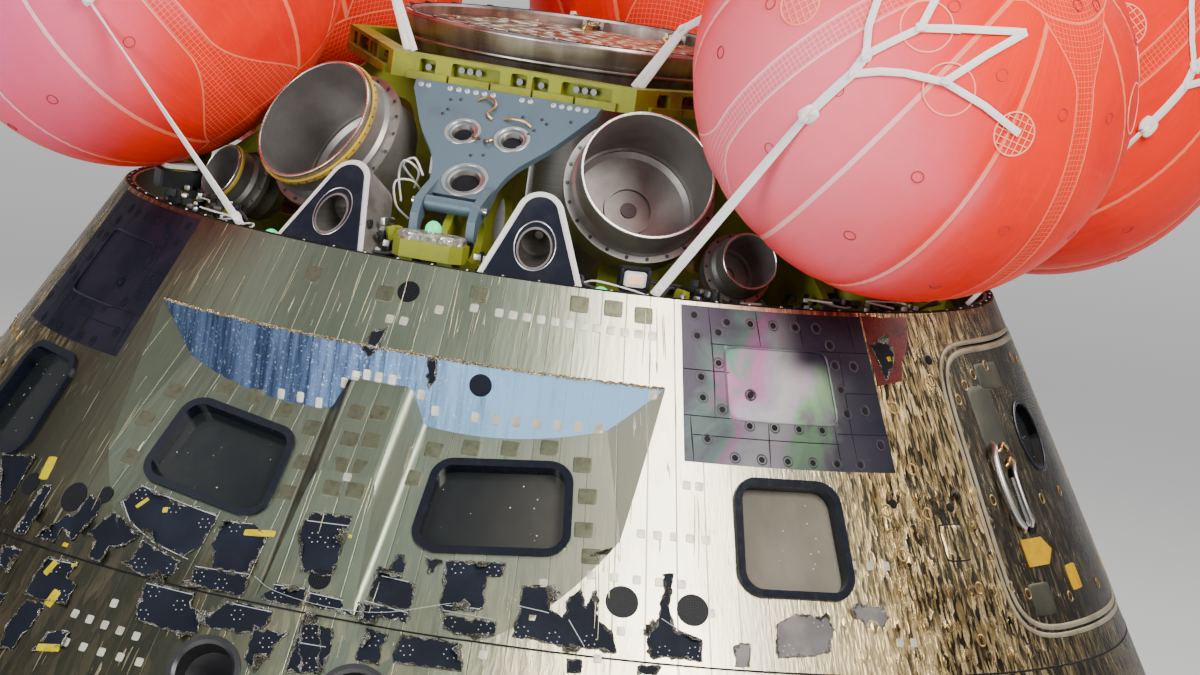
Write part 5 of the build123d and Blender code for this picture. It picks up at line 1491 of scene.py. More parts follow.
def ring_about(origin, axis, inner, outer, low, high, sides=64):
    """Flat ring about an axis, between two radii and two heights, with softened top edges."""
    soft = min((outer - inner), (high - low)) * 0.3
    return turned_shape([(inner, low), (outer, low), (outer, high - soft), (outer - soft, high),
                         (inner + soft, high), (inner, high - soft)], origin, axis, sides)


def can_trim(side):
    """Fittings of one large can: bright lip line, ring with small heads, flange heads, floor disc."""
    origin, axis = can_axis("large", side)
    can = CANS["large"]
    at, flange = can["flange"]
    ring = ring_about(origin, axis, can["radius"] + 0.0005, can["radius"] + 0.011, -0.036, -0.018)
    heads = [bolts(origin - axis * 0.027, axis, can["radius"] + 0.0115, 44, 0.0028, 0.002),
             bolts(origin - axis * at, axis, flange - 0.012, 22, 0.0066, 0.004)]
    lip = ring_about(origin, axis, can["radius"] - 0.007, can["radius"] + 0.002, -0.004, 0.0025)
    floor = ring_about(origin - axis * (can["depth"] - 0.001), axis, 0.0005, 0.027, 0, 0.004)
    return ring, heads, lip, floor


def small_box_pile(seed, count, azimuths, radii, heights, sizes):
    """Small connector bodies, each a soft box turned at random: places, and sizes in metres."""
    rng = np.random.default_rng(seed)
    parts = []
    for _ in range(count):
        az, r, z = rng.uniform(*azimuths), rng.uniform(*radii), rng.uniform(*heights)
        size = rng.uniform(sizes[0], sizes[1], 3)
        turn = math.radians(az + rng.choice((0, 15, -20, 40)))
        right = (math.cos(turn), math.sin(turn), rng.uniform(-.2, .2))
        parts.append(soft_box(polar(az, r, z), size, right, UP, 9.0, 8, 12))
    return parts


def looms(seed, count, azimuths, radii, heights, radius, sag):
    """Cables that loop between points of the bay: each rises and falls by a random sag."""
    rng = np.random.default_rng(seed)
    parts = []
    for _ in range(count):
        az = rng.uniform(*azimuths) + np.cumsum(rng.uniform(-5.0, 5.0, 5))
        r = np.clip(rng.uniform(*radii) + np.cumsum(rng.uniform(-.05, .05, 5)), *radii)
        z = np.clip(rng.uniform(*heights) + np.cumsum(rng.uniform(-sag, sag, 5)), heights[0], heights[1])
        parts.append(tube(curve_through(polar(az, r, z), 36), radius, 7))
    return parts


# Level place and height of the heads on each side of the six-sided frame
FRAME_HEADS = [(-.185, 3.119), (-.155, 3.119), (-.125, 3.119), (.215, 3.119), (.245, 3.119), (.275, 3.119),
               (-.300, 3.113), (.019, 3.113), (.094, 3.113)]


def bay_fittings():
    """All small fittings of the bay by finish."""
    made = {key: [] for key in ("can_ring", "dark_metal", "bright", "bare", "brass", "white_cable",
                                "black_cable", "clear_box", "primer", "amber", "beacon", "blue_rod",
                                "box_black", "deep_black")}
    for side in (1, -1):
        ring, heads, lip, floor = can_trim(side)
        if side < 0:
            made["can_ring"].append(ring)
            made["dark_metal"].append(heads[0])
        made["dark_metal"].append(heads[1])
        made["bright"].append(lip)
        made["dark_metal"].append(floor)
        origin, axis = can_axis("small", side)
        made["dark_metal"].append(bolts(origin - axis * 0.105, axis, 0.1085, 14, 0.0042, 0.003))
        made["bright"].append(ring_about(origin, axis, 0.0905, 0.0945, -0.003, 0.002, 40))
        if side < 0:
            made["can_ring"].append(ring_about(origin, axis, 0.0935, 0.098, -0.020, -0.009, 40))
    heads = (run(6, -0.195, -0.024, 0.030) + run(2, 0.055, -0.024, 0.03) + run(5, 0.165, -0.024, 0.028)
             + [(-0.270, -0.026), (-0.296, -0.026)])
    right, up, out = plate_axes()
    spots = on_plate(*np.transpose(heads))
    made["clear_box"].append(pads(flat_place(spots, right, up), 0.009, 0.009, 0.006, 2, 14))
    made["bright"].append(pads(flat_place(spots, right, up), 0.0045, 0.0045, 0.009, 2, 10))
    dots = [(-0.175, -0.072), (-0.142, -0.065), (-0.168, -0.118), (-0.178, -0.142), (0.085, -0.098),
            (0.150, -0.095), (0.172, -0.112), (0.142, -0.150), (0.130, -0.172), (0.246, -0.085),
            (0.02, -0.30), (-0.02, -0.31)]
    spots = on_plate(*np.transpose(dots))
    made["dark_metal"].append(pads(flat_place(spots, right, up), 0.006, 0.006, 0.003, 2, 12))
    for x, y, hole, mouth in ((-.085, -.208, .032, .054), (.085, -.208, .032, .054), (0, -.424, .046, .070)):
        spot = on_plate(x, y)
        made["bare"].append(ring_about(spot, out, mouth - 0.004, mouth + 0.007, -0.001, 0.0022, 48))
        made["bare"].append(turned_shape([(hole - .001, -.020), (hole + .002, -.020), (hole + .008, -.006),
                                          (mouth - .002, .0005), (mouth - .004, .0012), (hole + .004, -.006)],
                                         spot, out, 48))
        # Black disc a little way inside each hole: painted shade, standing in for the shade inside the hole
        made["deep_black"].append(turned_shape([(0, -.0215), (hole - .002, -.0215), (hole - .002, -.0255),
                                                (0, -.0255)], spot, out, 32))
    wires = [[(-.085, -.060), (-.06, -.048), (-.028, -.058), (-.012, -.085), (-.03, -.118), (-.008, -.135)],
             [(.03, -.125), (.06, -.128), (.105, -.132), (.128, -.140)],
             [(-.045, -.222), (-.03, -.236), (-.016, -.230)],
             [(.0, -.232), (.016, -.250), (.03, -.236), (.022, -.222)]]
    for wire in wires:
        xy = np.array(wire)
        lift = 0.016 * np.sin(np.linspace(0.15, math.pi - 0.15, len(xy)))
        made["brass"].append(tube(curve_through(on_plate(xy[:, 0], xy[:, 1], lift), 30), 0.0046, 8))
    made["blue_rod"].append(tube(np.linspace((-.082, -1.205, 2.725), (.082, -1.205, 2.725), 8), 0.0255, 20))
    made["bright"].append(tube(np.linspace((-.128, -1.205, 2.725), (.128, -1.205, 2.725), 8), 0.013, 14))
    for k in range(6):
        c, s = math.cos(math.radians(k * 60)), math.sin(math.radians(k * 60))
        spin = np.array([[c, -s, 0], [s, c, 0], [0, 0, 1]])
        for x, z in FRAME_HEADS:
            made["dark_metal"].append(turned_shape([(0, 0), (.011, 0), (.011, .010), (0, .010)],
                                                   spin @ (x, -0.713, z), spin @ (0, -1, 0), 10))
    return made


def equipment(made):
    """Boxes, lamps, cables and connectors round the deck, most of them behind the front rim."""
    made["beacon"].append(turned_shape([(0, -.001), (.0268, -.001), (.0268, .014), (.025, .024), (.018, .034),
                                        (.008, .0402), (0, .0412)], (0, -1.338, 2.6443), UP, 32))
    for az in (23.8, -23.8):
        made["beacon"].append(turned_shape([(0, .008), (.0268, .008), (.0268, .016), (.025, .026),
                                            (.018, .035), (.008, .0405), (0, .0415)],
                                           polar(az, 1.398, 2.522), UP, 32))
    right = level(28.1)
    face = polar(28.1, 1.3875, 2.597)
    made["clear_box"].append(pads(flat_place([face], right, UP), 0.037, 0.026, 0.003, 9, 24))
    made["amber"].append(pads(flat_place([face], right, UP), 0.027, 0.017, 0.0045, 9, 24))
    bars = ((0, .037, .094, .012), (0, -.037, .094, .012), (.044, 0, .012, .070), (-.044, 0, .012, .070))
    made["box_black"] += [soft_box(face + right * x + (0, 0, z), (w, 0.016, h), right, UP, 12.0, 8, 12)
                          for x, z, w, h in bars]
    right = (math.cos(-.96), math.sin(-.96), 0)
    made["clear_box"].append(soft_box(polar(-55, 1.350, 2.657), (0.096, 0.115, 0.022), right, UP, 10.0, 10,
                                      16))
    made["primer"].append(soft_box(polar(-55, 1.350, 2.618), (0.100, 0.119, 0.052), right, UP, 12.0, 10, 16))
    for az0, az1, r0, r1, z0, z1, seed, count in ((-52, -34, 1.28, 1.44, 2.47, 2.60, 3, 26),
                                                  (-12, -6, 1.2, 1.38, 2.50, 2.66, 4, 12),
                                                  (34, 42, 1.30, 1.44, 2.47, 2.60, 5, 16),
                                                  (52, 78, 1.22, 1.42, 2.46, 2.58, 6, 26),
                                                  (6.5, 9, 1.22, 1.38, 2.48, 2.60, 7, 8)):
        for key, more, number, top, sizes in (("primer", 0, count // 3, z1 - 0.03, (0.022, 0.055)),
                                              ("box_black", 20, count * 2, z1, (0.010, 0.034)),
                                              ("bare", 40, count, z1, (0.008, 0.026)),
                                              ("clear_box", 60, count // 2, z1, (0.007, 0.018))):
            made[key] += small_box_pile(seed + more, number, (az0, az1), (r0, r1), (z0, top), sizes)
    for az0, az1, seed, count in ((-56, -30, 1, 14), (-14, -5, 2, 10), (18, 44, 3, 12), (50, 80, 4, 14)):
        made["black_cable"] += looms(seed, count, (az0, az1), (1.20, 1.43), (2.46, 2.575), 0.0055, 0.04)
        made["white_cable"] += looms(seed + 9, count // 2, (az0, az1), (1.30, 1.43), (2.48, 2.575), 0.0032,
                                     0.03)
    loops = [[(-.205, -.98, 2.74), (-.185, -1.02, 2.80), (-.225, -1.05, 2.83), (-.25, -1.02, 2.78),
              (-.21, -1.08, 2.70)],
             [(-.17, -.99, 2.73), (-.19, -1.06, 2.77), (-.235, -1.09, 2.76), (-.215, -1.11, 2.69),
              (-.17, -1.10, 2.65)],
             [(-.22, -.95, 2.76), (-.245, -1.0, 2.81), (-.20, -1.03, 2.84), (-.16, -1.04, 2.79)]]
    made["white_cable"] += [tube(curve_through(loop, 40), 0.0038, 8) for loop in loops]
    return made


def ring_trim():
    """Clips round the docking ring, a seal in its top face and two beads round its wall."""
    clips = []
    for k in range(24):
        a = math.radians(k * 15 + 7)
        out = np.array([math.sin(a), -math.cos(a), 0.0])
        clips.append(soft_box(out * 0.617 + (0, 0, 3.2615), (0.018, 0.016, 0.007), (out[1], -out[0], 0), UP,
                              8.0, 8, 12))
    seal = ring_about((0, 0, 3.260), UP, 0.604, 0.612, -0.001, 0.002, 96)
    beads = [ring_about((0, 0, 3.176), UP, 0.630, 0.6335, 0.0, 0.006, 120),
             ring_about((0, 0, 3.248), UP, 0.630, 0.6330, 0.0, 0.005, 120)]
    return clips, seal, beads


def pod_trim(side):
    """Pale ring round a pod's nozzle, drawn out up the slope."""
    az, radius, width = 14.4 * side, 0.0655, 0.0018
    out, right = facing(az, 30.0), level(az)
    up = np.cross(out, right)
    middle = polar(az, 1.434, 2.560) + up * 0.112 + out * 0.0085
    t = turns(64)
    stretch = 1 / math.cos(math.radians(40.0))
    path = middle + radius * (np.cos(t)[:, None] * right + stretch * np.sin(t)[:, None] * up)
    return band(path, unit(path - middle), out,
                [(-width, -.001), (-width, .001), (0, .0018), (width, .001), (width, -.001)])


def rim_trim():
    """Dark seal line on the rim, and the bolt heads beside it."""
    r = (APEX_Z - RIM_Z) * SLOPE
    ring = [turned_shape([(r - .024, -.001), (r - .004, -.001), (r - .005, .003), (r - .022, .003)],
                         (0, 0, RIM_Z),
                         UP, 160)]
    az = np.arange(0, 360, 4.5) + 2.2
    spots = polar(az, r - 0.014, RIM_Z + 0.002)
    right = np.stack([np.cos(np.radians(az)), np.sin(np.radians(az)), 0 * az], -1)
    inward = np.stack([-right[:, 1], right[:, 0], 0 * az], -1)
    heads = pads(flat_place(spots, right, inward), .005, .005, .004, 2, 8)
    return ring, heads


# Rigging
def taut(a, b, count=30):
    return np.linspace(np.asarray(a, float), np.asarray(b, float), count)


def over_bag(az, stops, lift=STRAP_LIFT, count=40):
    """Line that follows an airbag through stops of longitude and latitude: the arcs between them,
    lifted off the fabric."""
    spots, _ = bag_point(az, *np.transpose(stops))
    centre = bag_axes(az)[0]
    line = curve_straight(spots, count)
    out = unit(line - centre)
    return centre + out * (BAG_RADIUS + lift), out


def curve_straight(points, count):
    """Points at even shares of the way along straight pieces."""
    p = np.asarray(points, float)
    way = np.concatenate([[0], np.cumsum(np.linalg.norm(np.diff(p, axis=0), axis=1))])
    t = np.linspace(0, way[-1], count)
    return np.stack([np.interp(t, way, p[:, k]) for k in range(3)], -1)


def knot(spot, along, size):
    """Overhand knot: a trefoil line squeezed along the strap, with a round section."""
    t = np.linspace(0, 2 * math.pi, 60)
    along = unit(np.asarray(along, float))
    right = unit(np.cross(along, (0.3, 0.2, 0.9)))
    front = np.cross(along, right)
    x = np.sin(t) + 1.6 * np.sin(2 * t)
    y = np.cos(t) - 1.6 * np.cos(2 * t)
    path = (np.asarray(spot, float) + size * 0.30 * (x[:, None] * right + y[:, None] * front)
            + size * 0.55 * np.sin(3 * t)[:, None] * along * 1.6)
    return tube(path, size * 0.42, 8)


BRIDLE = [[(163.5, 28.8), (160.5, 43.4), (151.0, 51.0)],
          [(163.5, 28.8), (170.0, 33.0), (178.0, 39.5), (186.0, 47.0)],
          [(160.5, 43.4), (143.0, 56.0), (126.9, 62.1)], [(126.9, 62.1), (137.0, 51.0), (142.1, 39.0)],
          [(142.1, 39.0), (127.0, 40.6), (111.6, 38.8)], [(161.6, 23.2), (157.5, 29.0), (152.4, 33.6)],
          [(152.4, 33.6), (147.0, 36.6), (142.1, 39.0)], [(160.5, 43.4), (168.0, 52.0), (178.0, 60.0)]]
# Knots: longitude and latitude, those of the place that each points to, and its size
KNOTS = [(163.5, 28.8, 168.0, 34.0, 0.017), (160.5, 43.4, 150.0, 51.0, 0.014),
         (142.1, 39.0, 135.0, 40.0, 0.012), (161.6, 23.2, 163.5, 28.8, 0.012),
         (160.8, 7.8, 160.8, 15.0, 0.026)]


def bridle(az):
    """Branches over one airbag, in flat webbing."""
    parts = []
    for stops in BRIDLE:
        line, out = over_bag(az, stops)
        parts.append(ribbon(line, out, 0.024, 0.005))
    line, out = over_bag(az, [(160.8, 7.8), (161.6, 23.2), (163.5, 28.8)])
    parts.append(ribbon(line, out, 0.030, 0.007))
    lon, lat, lon_ahead, lat_ahead, sizes = np.transpose(KNOTS)
    ends, _ = bag_point(az, lon, lat, 0.010)
    tops, _ = bag_point(az, lon_ahead, lat_ahead, 0.010)
    for spot, ahead, size in zip(ends, tops, sizes):
        parts.append(knot(spot, ahead - spot, size))
    return parts


def rigging():
    """Front straps from the rim to the front airbags, straps from the six-sided frame up to the
    airbags' inner sides, and bridles."""
    parts = []
    for side, bag_az in ((1, 59.5), (-1, -59.5)):
        foot = polar(30.1 if side > 0 else -26.6, 1.472, STRAP_FOOT_Z)
        high, _ = bag_point(bag_az, 160.8, 7.8, STRAP_LIFT)
        line = taut(foot, high)
        parts.append(ribbon(line, unit(line - polar(0.0, 0.2, 2.3)), 0.032, 0.006,
                            twist=np.linspace(0.1, 1.1, 30)))
        parts.append(knot(foot + (high - foot) * 0.03, high - foot, 0.014))
        low = np.array([0.396 * side, -0.644, 3.150])
        middle = np.array([0.51 * side, -0.600, 3.36])
        tail, _ = bag_point(bag_az, 212.0, 52.0, 0.008)
        for shift in (-0.012, 0.012):
            parts.append(ribbon(taut(low + (shift, 0, 0), middle + (shift * .3, 0, 0)), (0, -1, 0.2), 0.024,
                                0.005))
        parts.append(ribbon(taut(middle, tail), (0, -1, 0.2), 0.026, 0.006))
        parts.append(knot(middle, tail - middle, 0.016))
        rear_low = np.array([0.30 * side, 0.72, 3.150])
        rear_high, _ = bag_point(180.0, 175.0 if side > 0 else 5.0, 30.0, 0.008)
        parts.append(ribbon(taut(rear_low, rear_high), (0, -1, 0.2), 0.026, 0.006))
    for az in BAG_AZIMUTHS.values():
        parts += bridle(az)
    for foot_az, r, az in ((88.0, 1.452, 115.0), (-88.0, 1.452, -115.0), (150.5, 1.472, 180.0)):
        high, _ = bag_point(az, 160.8, 7.8, STRAP_LIFT)
        line = taut(polar(foot_az, r, STRAP_FOOT_Z), high)
        parts.append(ribbon(line, unit(line - polar(0.0, 0.0, 2.3)), 0.030, 0.006))
    return parts


# Seats
def cushions():
    """Seat and back cushions of the two seats, in soft boxes."""
    soft, bands = [], []
    for x in (-0.43, 0.43):
        for y, z, size, lean in ((0.18, 1.235, (0.40, 0.50, 0.07), 4), (0.53, 1.225, (0.34, 0.22, 0.07), 8)):
            up = (0, -math.sin(math.radians(lean)), math.cos(math.radians(lean)))
            soft.append(soft_box((x, y, z), size, (1, 0, 0), up, 5.0, 14, 24))
        for shift in (-0.11, 0.11):
            path = curve_through([(x + shift, 0.02, 1.28), (x + shift * .9, 0.18, 1.285),
                                  (x + shift * .6, 0.36, 1.28)], 20)
            bands.append(ribbon(path, UP, 0.045, 0.006))
    return soft, bands


# The stage
CAMERA_AT = (6.0306, -19.1265, 4.7450)
CAMERA_TURN = (16.979, 7.156, 7.912)


def make_camera(stage):
    """Camera at the photograph's place: its back vector faces the turn's azimuth and elevation,
    and it is rolled about that."""
    az, elevation, roll = (math.radians(v) for v in CAMERA_TURN)
    back = Vector((math.sin(az) * math.cos(elevation), -math.cos(az) * math.cos(elevation),
                   math.sin(elevation)))
    right = Vector((math.cos(az), math.sin(az), 0.0))
    up = back.cross(right)
    right, up = (math.cos(roll) * right + math.sin(roll) * up, -math.sin(roll) * right + math.cos(roll) * up)
    data = bpy.data.cameras.new("camera")
    data.lens = stage.lens
    data.sensor_width = 36.0
    data.clip_end = 400.0
    camera = linked("camera", data)
    camera.matrix_world = Matrix.Translation(CAMERA_AT) @ Matrix((right, up, back)).transposed().to_4x4()
    bpy.context.scene.camera = camera


# Lamps: name, azimuth, elevation, distance, size, power in watts, colour
LAMPS = [
    ("key", 46.0, 36.0, 11.0, 4.5, 1350.0, (1.0, 0.97, 0.92)),
    ("front", -20.0, 8.0, 14.0, 6.0, 1150.0, (0.96, 0.98, 1.0)),
    ("left", -75.0, 35.0, 12.0, 5.0, 190.0, (0.92, 0.95, 1.0)),
    ("back_right", 140.0, 35.0, 13.0, 6.0, 560.0, (1.0, 0.98, 0.95)),
    ("back_left", -145.0, 35.0, 13.0, 6.0, 560.0, (1.0, 0.98, 0.95)),
    ("top", 0.0, 85.0, 11.0, 5.0, 340.0, (1.0, 1.0, 1.0)),
]


def make_lamps(stage):
    """Large soft lamps that all point at the capsule's middle."""
    target = Vector((0, 0, 2.2))
    for name, az, elevation, distance, size, power, colour in LAMPS:
        data = bpy.data.lights.new(name, "AREA")
        data.energy, data.size, data.color = power * stage.light, size, colour
        lamp = linked(name, data)
        lamp.location = target + Vector(facing(az, elevation)) * distance
        lamp.rotation_mode = "QUATERNION"
        lamp.rotation_quaternion = (lamp.location - target).to_track_quat("Z", "Y")
        lamp.visible_camera = False


def make_floor(stage):
    """Wide round floor: rings of points whose radius grows, at the height of the shield's foot. Far
    out, where no lamp reaches, the floor that is seen or mirrored is kept as pale as it is near."""
    r = np.array([0.0, 2, 4, 8, 20, 60, 200, 380])[:, None]
    t = turns(48)[None, :]
    points = np.stack([r * np.cos(t), r * np.sin(t), 0 * r * t], -1)
    mesh = bpy.data.meshes.new("floor")
    mesh.from_pydata(points.reshape(-1, 3).tolist(), [], grid_faces(len(r), 48, close_columns=True).tolist())
    floor = linked("floor", mesh)
    pale = tuple(stage.floor_colour)
    surface = bpy.data.materials.new("Floor")
    surface.use_nodes = True
    w = Wires(surface.node_tree)
    shader = surface.node_tree.nodes["Principled BSDF"]
    shader.inputs["Roughness"].default_value = 0.9
    w.feed(shader.inputs["Base Color"],
           w.mix(w.noise(w.here(), 0.6, 3.0), pale, tuple(c * 0.985 for c in pale)))
    path = w.add("ShaderNodeLightPath").outputs
    seen = w.larger(path["Is Camera Ray"], w.larger(path["Is Glossy Ray"], path["Is Transmission Ray"]))
    far = w.step(w.vectors("LENGTH", w.here(), output="Value"), 4.0, 34.0)
    shader.inputs["Emission Color"].default_value = (*pale, 1.0)
    w.feed(shader.inputs["Emission Strength"], far * seen * stage.horizon)
    mesh.materials.append(surface)


def make_world(stage):
    """Pale world: a slow change from a dim horizon to a lighter zenith."""
    world = bpy.data.worlds.new("studio")
    bpy.context.scene.world = world
    world.use_nodes = True
    tree = world.node_tree
    w = Wires(tree)
    background = tree.nodes["Background"]
    rise = w.split(w.here("Generated"))[2]
    w.feed(background.inputs["Color"], w.mix(w.step(rise, -0.1, 0.9), (0.42, 0.43, 0.45), (0.80, 0.81, 0.84)))
    background.inputs["Strength"].default_value = stage.world


# Settings
def colour_property(name, description, default):
    return FloatVectorProperty(name=name, description=description, subtype="COLOR", size=3, min=0.0, max=1.0,
                               default=default)


def length_property(name, description, default):
    return FloatProperty(name=name, description=description, default=default, min=0.0, unit="LENGTH")


class CapsuleSkinSettings(bpy.types.PropertyGroup):
    front_colour: colour_property("Front tape", "Tape round the front windows", (0.31, 0.365, 0.265))
    side_colour: colour_property("Side tape", "Crinkled tape round the sides", (0.37, 0.25, 0.095))
    tear_rough: length_property("Tear roughness", "How far torn edges wander", 0.0030)
    creases: IntProperty(name="Creases", description="Raised creases in the front tape", default=150, min=0)


class CapsuleBagSettings(bpy.types.PropertyGroup):
    colour: colour_property("Fabric", "Coated fabric of the airbags", (0.90, 0.024, 0.006))
    # Colour of the airbags' painted lit side
    sheen_colour: colour_property("Pink side", "Fabric on the lit side", (1.0, 0.21, 0.29))
    seam_depth: length_property("Seam depth", "How far a seam draws the fabric in", 0.0045)
    rows: IntProperty(name="Rows", description="Rows of faces from pole to pole", default=110, min=20)
    columns: IntProperty(name="Columns", description="Faces round an airbag", default=216, min=24)


class CapsuleStageSettings(bpy.types.PropertyGroup):
    lens: FloatProperty(name="Lens", description="Focal length in millimetres", default=177.9, min=10.0)
    light: FloatProperty(name="Lamps", description="Factor on the power of every lamp", default=1.0, min=0.0)
    world: FloatProperty(name="World", description="Strength of the world", default=0.36, min=0.0)
    horizon: FloatProperty(name="Horizon", description="Paleness added to the far floor", default=0.55,
                           min=0.0)
    floor_colour: colour_property("Floor", "Floor and background", (0.78, 0.78, 0.77))


# Operators
class CAPSULE_OT_stage(bpy.types.Operator):
    """Makes the camera, the lamps, the floor and the world"""
    bl_idname = "capsule.stage"
    bl_label = "Stage"

    def execute(self, context):
        stage = context.scene.capsule_stage
        make_camera(stage)
        make_lamps(stage)
        make_floor(stage)
        make_world(stage)
        return {"FINISHED"}


class CAPSULE_OT_finishes(bpy.types.Operator):
    """Makes the finishes and gives every CAD node its own"""
    bl_idname = "capsule.finishes"
    bl_label = "Finishes"

    def execute(self, context):
        make_materials(context.scene.capsule_skin, context.scene.capsule_bags)
        dress_nodes()
        return {"FINISHED"}


class CAPSULE_OT_airbags(bpy.types.Operator):
    """Makes the five airbags with their gores, rings and netted patches"""
    bl_idname = "capsule.airbags"
    bl_label = "Airbags"

    def execute(self, context):
        bags = context.scene.capsule_bags
        for name, az in BAG_AZIMUTHS.items():
            airbag(name, az, bags)
            dark, pale = bag_marks(az)
            lay(name + "_rings", dark, "bag_stamp")
            lay(name + "_patches", pale, "bag_mark")
        return {"FINISHED"}


class CAPSULE_OT_skin_details(bpy.types.Operator):
    """Makes the torn places, tape squares, creases and strips of the skin"""
    bl_idname = "capsule.skin_details"
    bl_label = "Skin details"

    def execute(self, context):
        skin = context.scene.capsule_skin
        groups = [("navy_tiles", TEARS_NAVY, 0.0012), ("grey_tiles", TEARS_GREY, 0.0012),
                  ("deep_black", TEARS_BLACK, 0.0016)]
        holes, edges = tears(groups, skin)
        for kind, parts in holes.items():
            lay("torn_" + kind, parts, kind)
        lay("torn_tape_edges", edges, "silver_foil", smooth=False)
        az, z = np.transpose(PALE_SQUARES)
        turn = np.sin(az * 5.0) * 3.0
        outline, to_space = flat_outline(RED_TAPE)
        lay("red_tape", [sheet_in(ragged(outline, 0.012, 0.0016, 3), to_space, 0.0009, 0.002)], "red_tape")
        lay("pale_squares", [pads(skin_place(az, z, turn), 0.0135, 0.0145, 0.0016)], "pale_pad")
        lay("brown_squares", [pads(skin_place(*np.transpose(BROWN_SQUARES)), 0.030, 0.028, 0.0012, 14)],
            "brown_pad")
        az, z = np.transpose(DOT_RINGS)
        dots = [pads(skin_place(az + 0.52 * np.cos(k), z + 0.015 * np.sin(k)), 0.0024, 0.0024, 0.0020, 2, 8)
                for k in np.radians(np.arange(0, 360, 60) + 15)]
        lay("tile_marks", dots + patch_strips(TILE_LINES, 0.0028, 0.0016), "white_line")
        tapes = [pads(skin_place(*spot, turn), wide / 2, high / 2, 0.0032, 12)
                 for spot, wide, high, turn in YELLOW_TAPES]
        lay("yellow_tapes", tapes, "yellow")
        lay("tape_creases", slope_strips(creases(skin.creases, 4), 0.0030, 0.0013, 0.0008), "crease")
        lay("wall_edge", [crumpled_edge(-31.4, 31.4, BAY_WALL_R + 0.001, 2.2945, 0.0050, 5)], "edge_foil",
            smooth=False)
        place = flat_place([polar(11.1, BAY_WALL_R, 2.230)], level(11.1), UP)
        thread = [(-5.3, 1.578), (-3.0, 1.548), (2.0, 1.532), (7.0, 1.545), (12.5, 1.602)]
        lay("loose_thread", [cone_tube(thread, 0.0009, 0.004, 60)], "white_line")
        lay("wall_disc", [pads(place, 0.036, 0.036, 0.0016, 2, 36)], "navy_tiles")
        lay("shell_joint", level_strips([(SEAM_Z + 0.004, -180, 0), (SEAM_Z + 0.004, 0, 180)], 0.006, 0.0002),
            "deep_black")
        return {"FINISHED"}


class CAPSULE_OT_panels(bpy.types.Operator):
    """Makes the access panels' joints and plugs, and the hatch's seal, plates, bars and plugs"""
    bl_idname = "capsule.panels"
    bl_label = "Panels and hatch"

    def execute(self, context):
        for side, name in ((1, "right"), (-1, "left")):
            lay(name + "_panel_joints", dark_seams(side, 0.0002), "deep_black")
            lay(name + "_port_frame", [port_frame(side)], "film_tiles" if side > 0 else "black_tiles")
            rings, discs = plug_parts([(az * side, z) for az, z in PLUGS], 0.017)
            lay(name + "_panel_plugs", [rings], "plug" if side > 0 else "navy_tiles")
            lay(name + "_panel_plug_discs", [discs], "deep_black")
        hatch = "side_hatch"
        lay("hatch_edge_band", [hatch_band(0.013, 0.019, 0.004)], "seal", hatch)
        lay("hatch_outer_band", [hatch_band(-0.014, 0.016, 0.0035)], "seal")
        patches = [(79.0, 2.235, 0.085, 0.115), (77.6, 1.700, 0.075, 0.055), (83.5, 2.36, 0.10, 0.045)]
        lay("hatch_patches",
            [pads(skin_place(az, z), wide, high, 0.0012, 14) for az, z, wide, high in patches],
            "hatch_patch", hatch)
        long_bar = [(77.8, 2.165), (76.6, 2.12), (76.4, 2.02), (77.2, 1.93), (78.6, 1.90)]
        bars = [cone_tube(long_bar, 0.011, 0.020),
                cone_tube([(80.9, 2.10), (80.2, 2.06), (80.2, 1.96), (80.8, 1.91)], 0.008, 0.014)]
        lay("hatch_bars", bars, "bare", hatch)
        hooks = [cone_tube([(az - 1.1, z - 0.012), (az, z + 0.008), (az + 1.1, z - 0.012)], 0.006, 0.009, 16)
                 for az, z in ((80.0, 2.150), (80.6, 2.105))]
        lay("hatch_hooks", hooks, "brass", hatch)
        lay("hatch_arrow_plate", [arrow_plate(80.2, 1.835, 0.215, 0.094)], "gold_plate", hatch,
            smooth=False)
        lay("hatch_small_plate", [pads(skin_place(87.0, 1.741), 0.052, 0.044, 0.0028, 16)], "gold_plate",
            hatch)
        ring = rings_on(skin_place(90.0, 2.163), 0.121, 0.016, 0.006, 48)
        lay("hatch_window_ring", [ring], "window_frame", hatch)
        lay("hatch_plugs", [rings_on(skin_place(*np.transpose(HATCH_PLUGS)), 0.017, 0.005, 0.0022, 20)],
            "brass", hatch)
        lay("side_plugs", [rings_on(skin_place(*np.transpose(SIDE_PLUGS)), 0.019, 0.006, 0.0024, 20)],
            "brass")
        az, z = np.meshgrid(np.arange(49.0, 72.0, 3.1), np.arange(1.555, 2.04, 0.094))
        az = (az + 1.5 * (np.round(z / 0.094) % 2)).reshape(-1)
        z = z.reshape(-1) + 0.006 * np.sin(az * 9)
        clear = ~((np.abs(az - 65.2) < 2.6) & (np.abs(z - 1.885) < 0.055)) & ((az > 56.0) | (z < 1.66))
        az, z = az[clear], z[clear]
        knobs = [pads(skin_place(az * side, z), 0.013, 0.019, 0.0042, 2, 14) for side in (1, -1)]
        lay("side_knobs", knobs, "side_skin")
        lay("side_knob_rings",
            [rings_on(skin_place(az * side, z), 0.021, 0.004, 0.0016, 18) for side in (1, -1)], "side_skin")
        lay("square_cover", [pads(skin_place(65.2, 1.885), 0.058, 0.060, 0.004, 12)], "side_skin")
        lay("square_cover_edge", [pads(skin_place(65.2, 1.885), 0.062, 0.064, 0.002, 12)], "deep_black")
        lay("dark_spots", [pads(skin_place([66.0, 69.8, 57.6], [1.987, 2.42, 2.0]), 0.018, 0.016, 0.0026, 2)],
            "deep_black")
        return {"FINISHED"}


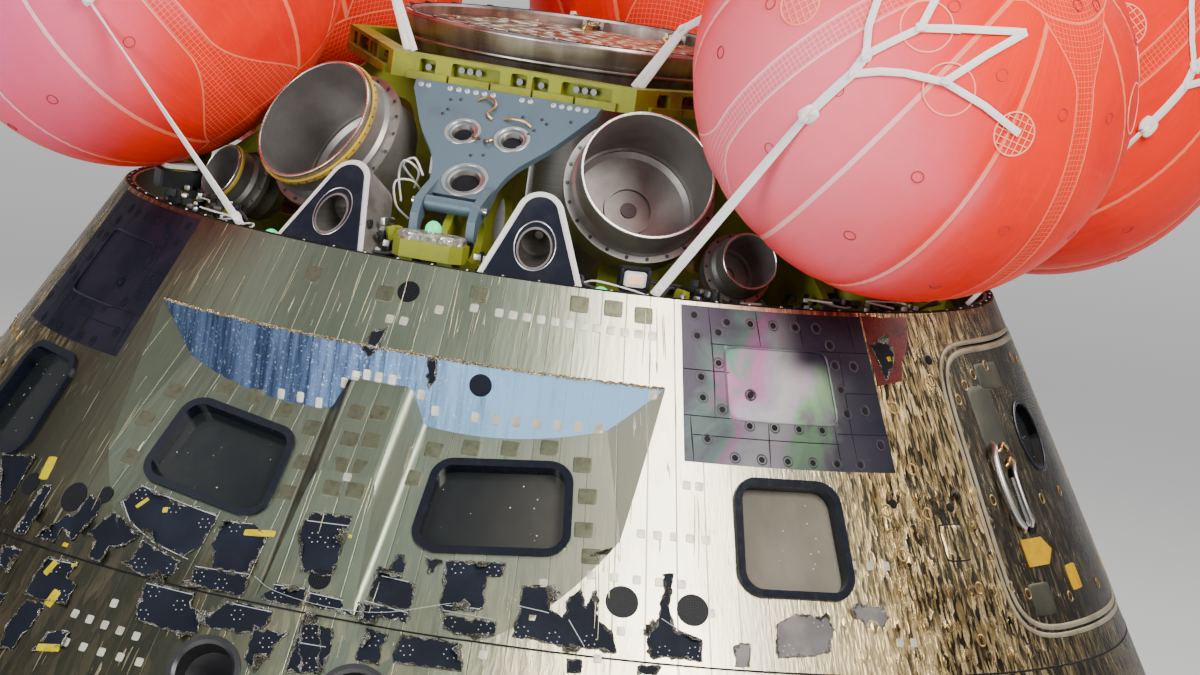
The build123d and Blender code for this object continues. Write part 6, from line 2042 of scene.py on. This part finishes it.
class CAPSULE_OT_bay(bpy.types.Operator):
    """Makes the small fittings, lamps, cables and connectors of the forward bay"""
    bl_idname = "capsule.bay"
    bl_label = "Forward bay"

    def execute(self, context):
        for name, parts in equipment(bay_fittings()).items():
            finish_name = "blue_grey" if name == "blue_rod" else name
            lay("bay_" + name, parts, finish_name)
        clips, seal, beads = ring_trim()
        lay("ring_clips", clips, "dark_metal")
        lay("ring_seal", [seal], "deep_black")
        lay("ring_beads", beads, "ring")
        lay("pod_rings", [pod_trim(1), pod_trim(-1)], "bare")
        ring, heads = rim_trim()
        lay("rim_seal", ring, "deep_black")
        lay("rim_heads", [heads], "bare")
        return {"FINISHED"}


class CAPSULE_OT_rigging(bpy.types.Operator):
    """Makes the straps from the rim and the frame to the airbags, and the airbags' bridles"""
    bl_idname = "capsule.rigging"
    bl_label = "Rigging"

    def execute(self, context):
        lay("rigging_straps", rigging(), "strap")
        return {"FINISHED"}


class CAPSULE_OT_seats(bpy.types.Operator):
    """Makes the seats' cushions and harness straps"""
    bl_idname = "capsule.seats"
    bl_label = "Seats"

    def execute(self, context):
        soft, bands = cushions()
        lay("seat_cushions", soft, "seat")
        lay("seat_harness", bands, "strap")
        return {"FINISHED"}


class CAPSULE_PT_panel(bpy.types.Panel):
    """Lists the operators in the order in which they run"""
    bl_idname = "CAPSULE_PT_panel"
    bl_label = "Capsule"
    bl_space_type = "VIEW_3D"
    bl_region_type = "UI"
    bl_category = "Capsule"

    def draw(self, context):
        for step in STEPS:
            self.layout.operator(step.bl_idname)


STEPS = (CAPSULE_OT_stage, CAPSULE_OT_finishes, CAPSULE_OT_airbags, CAPSULE_OT_skin_details,
         CAPSULE_OT_panels,
         CAPSULE_OT_bay, CAPSULE_OT_rigging, CAPSULE_OT_seats)
SETTINGS = {"capsule_skin": CapsuleSkinSettings, "capsule_bags": CapsuleBagSettings,
            "capsule_stage": CapsuleStageSettings}


def register():
    for kind in (*SETTINGS.values(), *STEPS, CAPSULE_PT_panel):
        bpy.utils.register_class(kind)
    for name, kind in SETTINGS.items():
        setattr(bpy.types.Scene, name, PointerProperty(type=kind))


def unregister():
    for name in SETTINGS:
        delattr(bpy.types.Scene, name)
    for kind in (CAPSULE_PT_panel, *reversed(STEPS), *SETTINGS.values()):
        bpy.utils.unregister_class(kind)


def main():
    register()
    for step in STEPS:
        group_name, name = step.bl_idname.split(".")
        getattr(getattr(bpy.ops, group_name), name)()


if __name__ == "__main__":
    main()
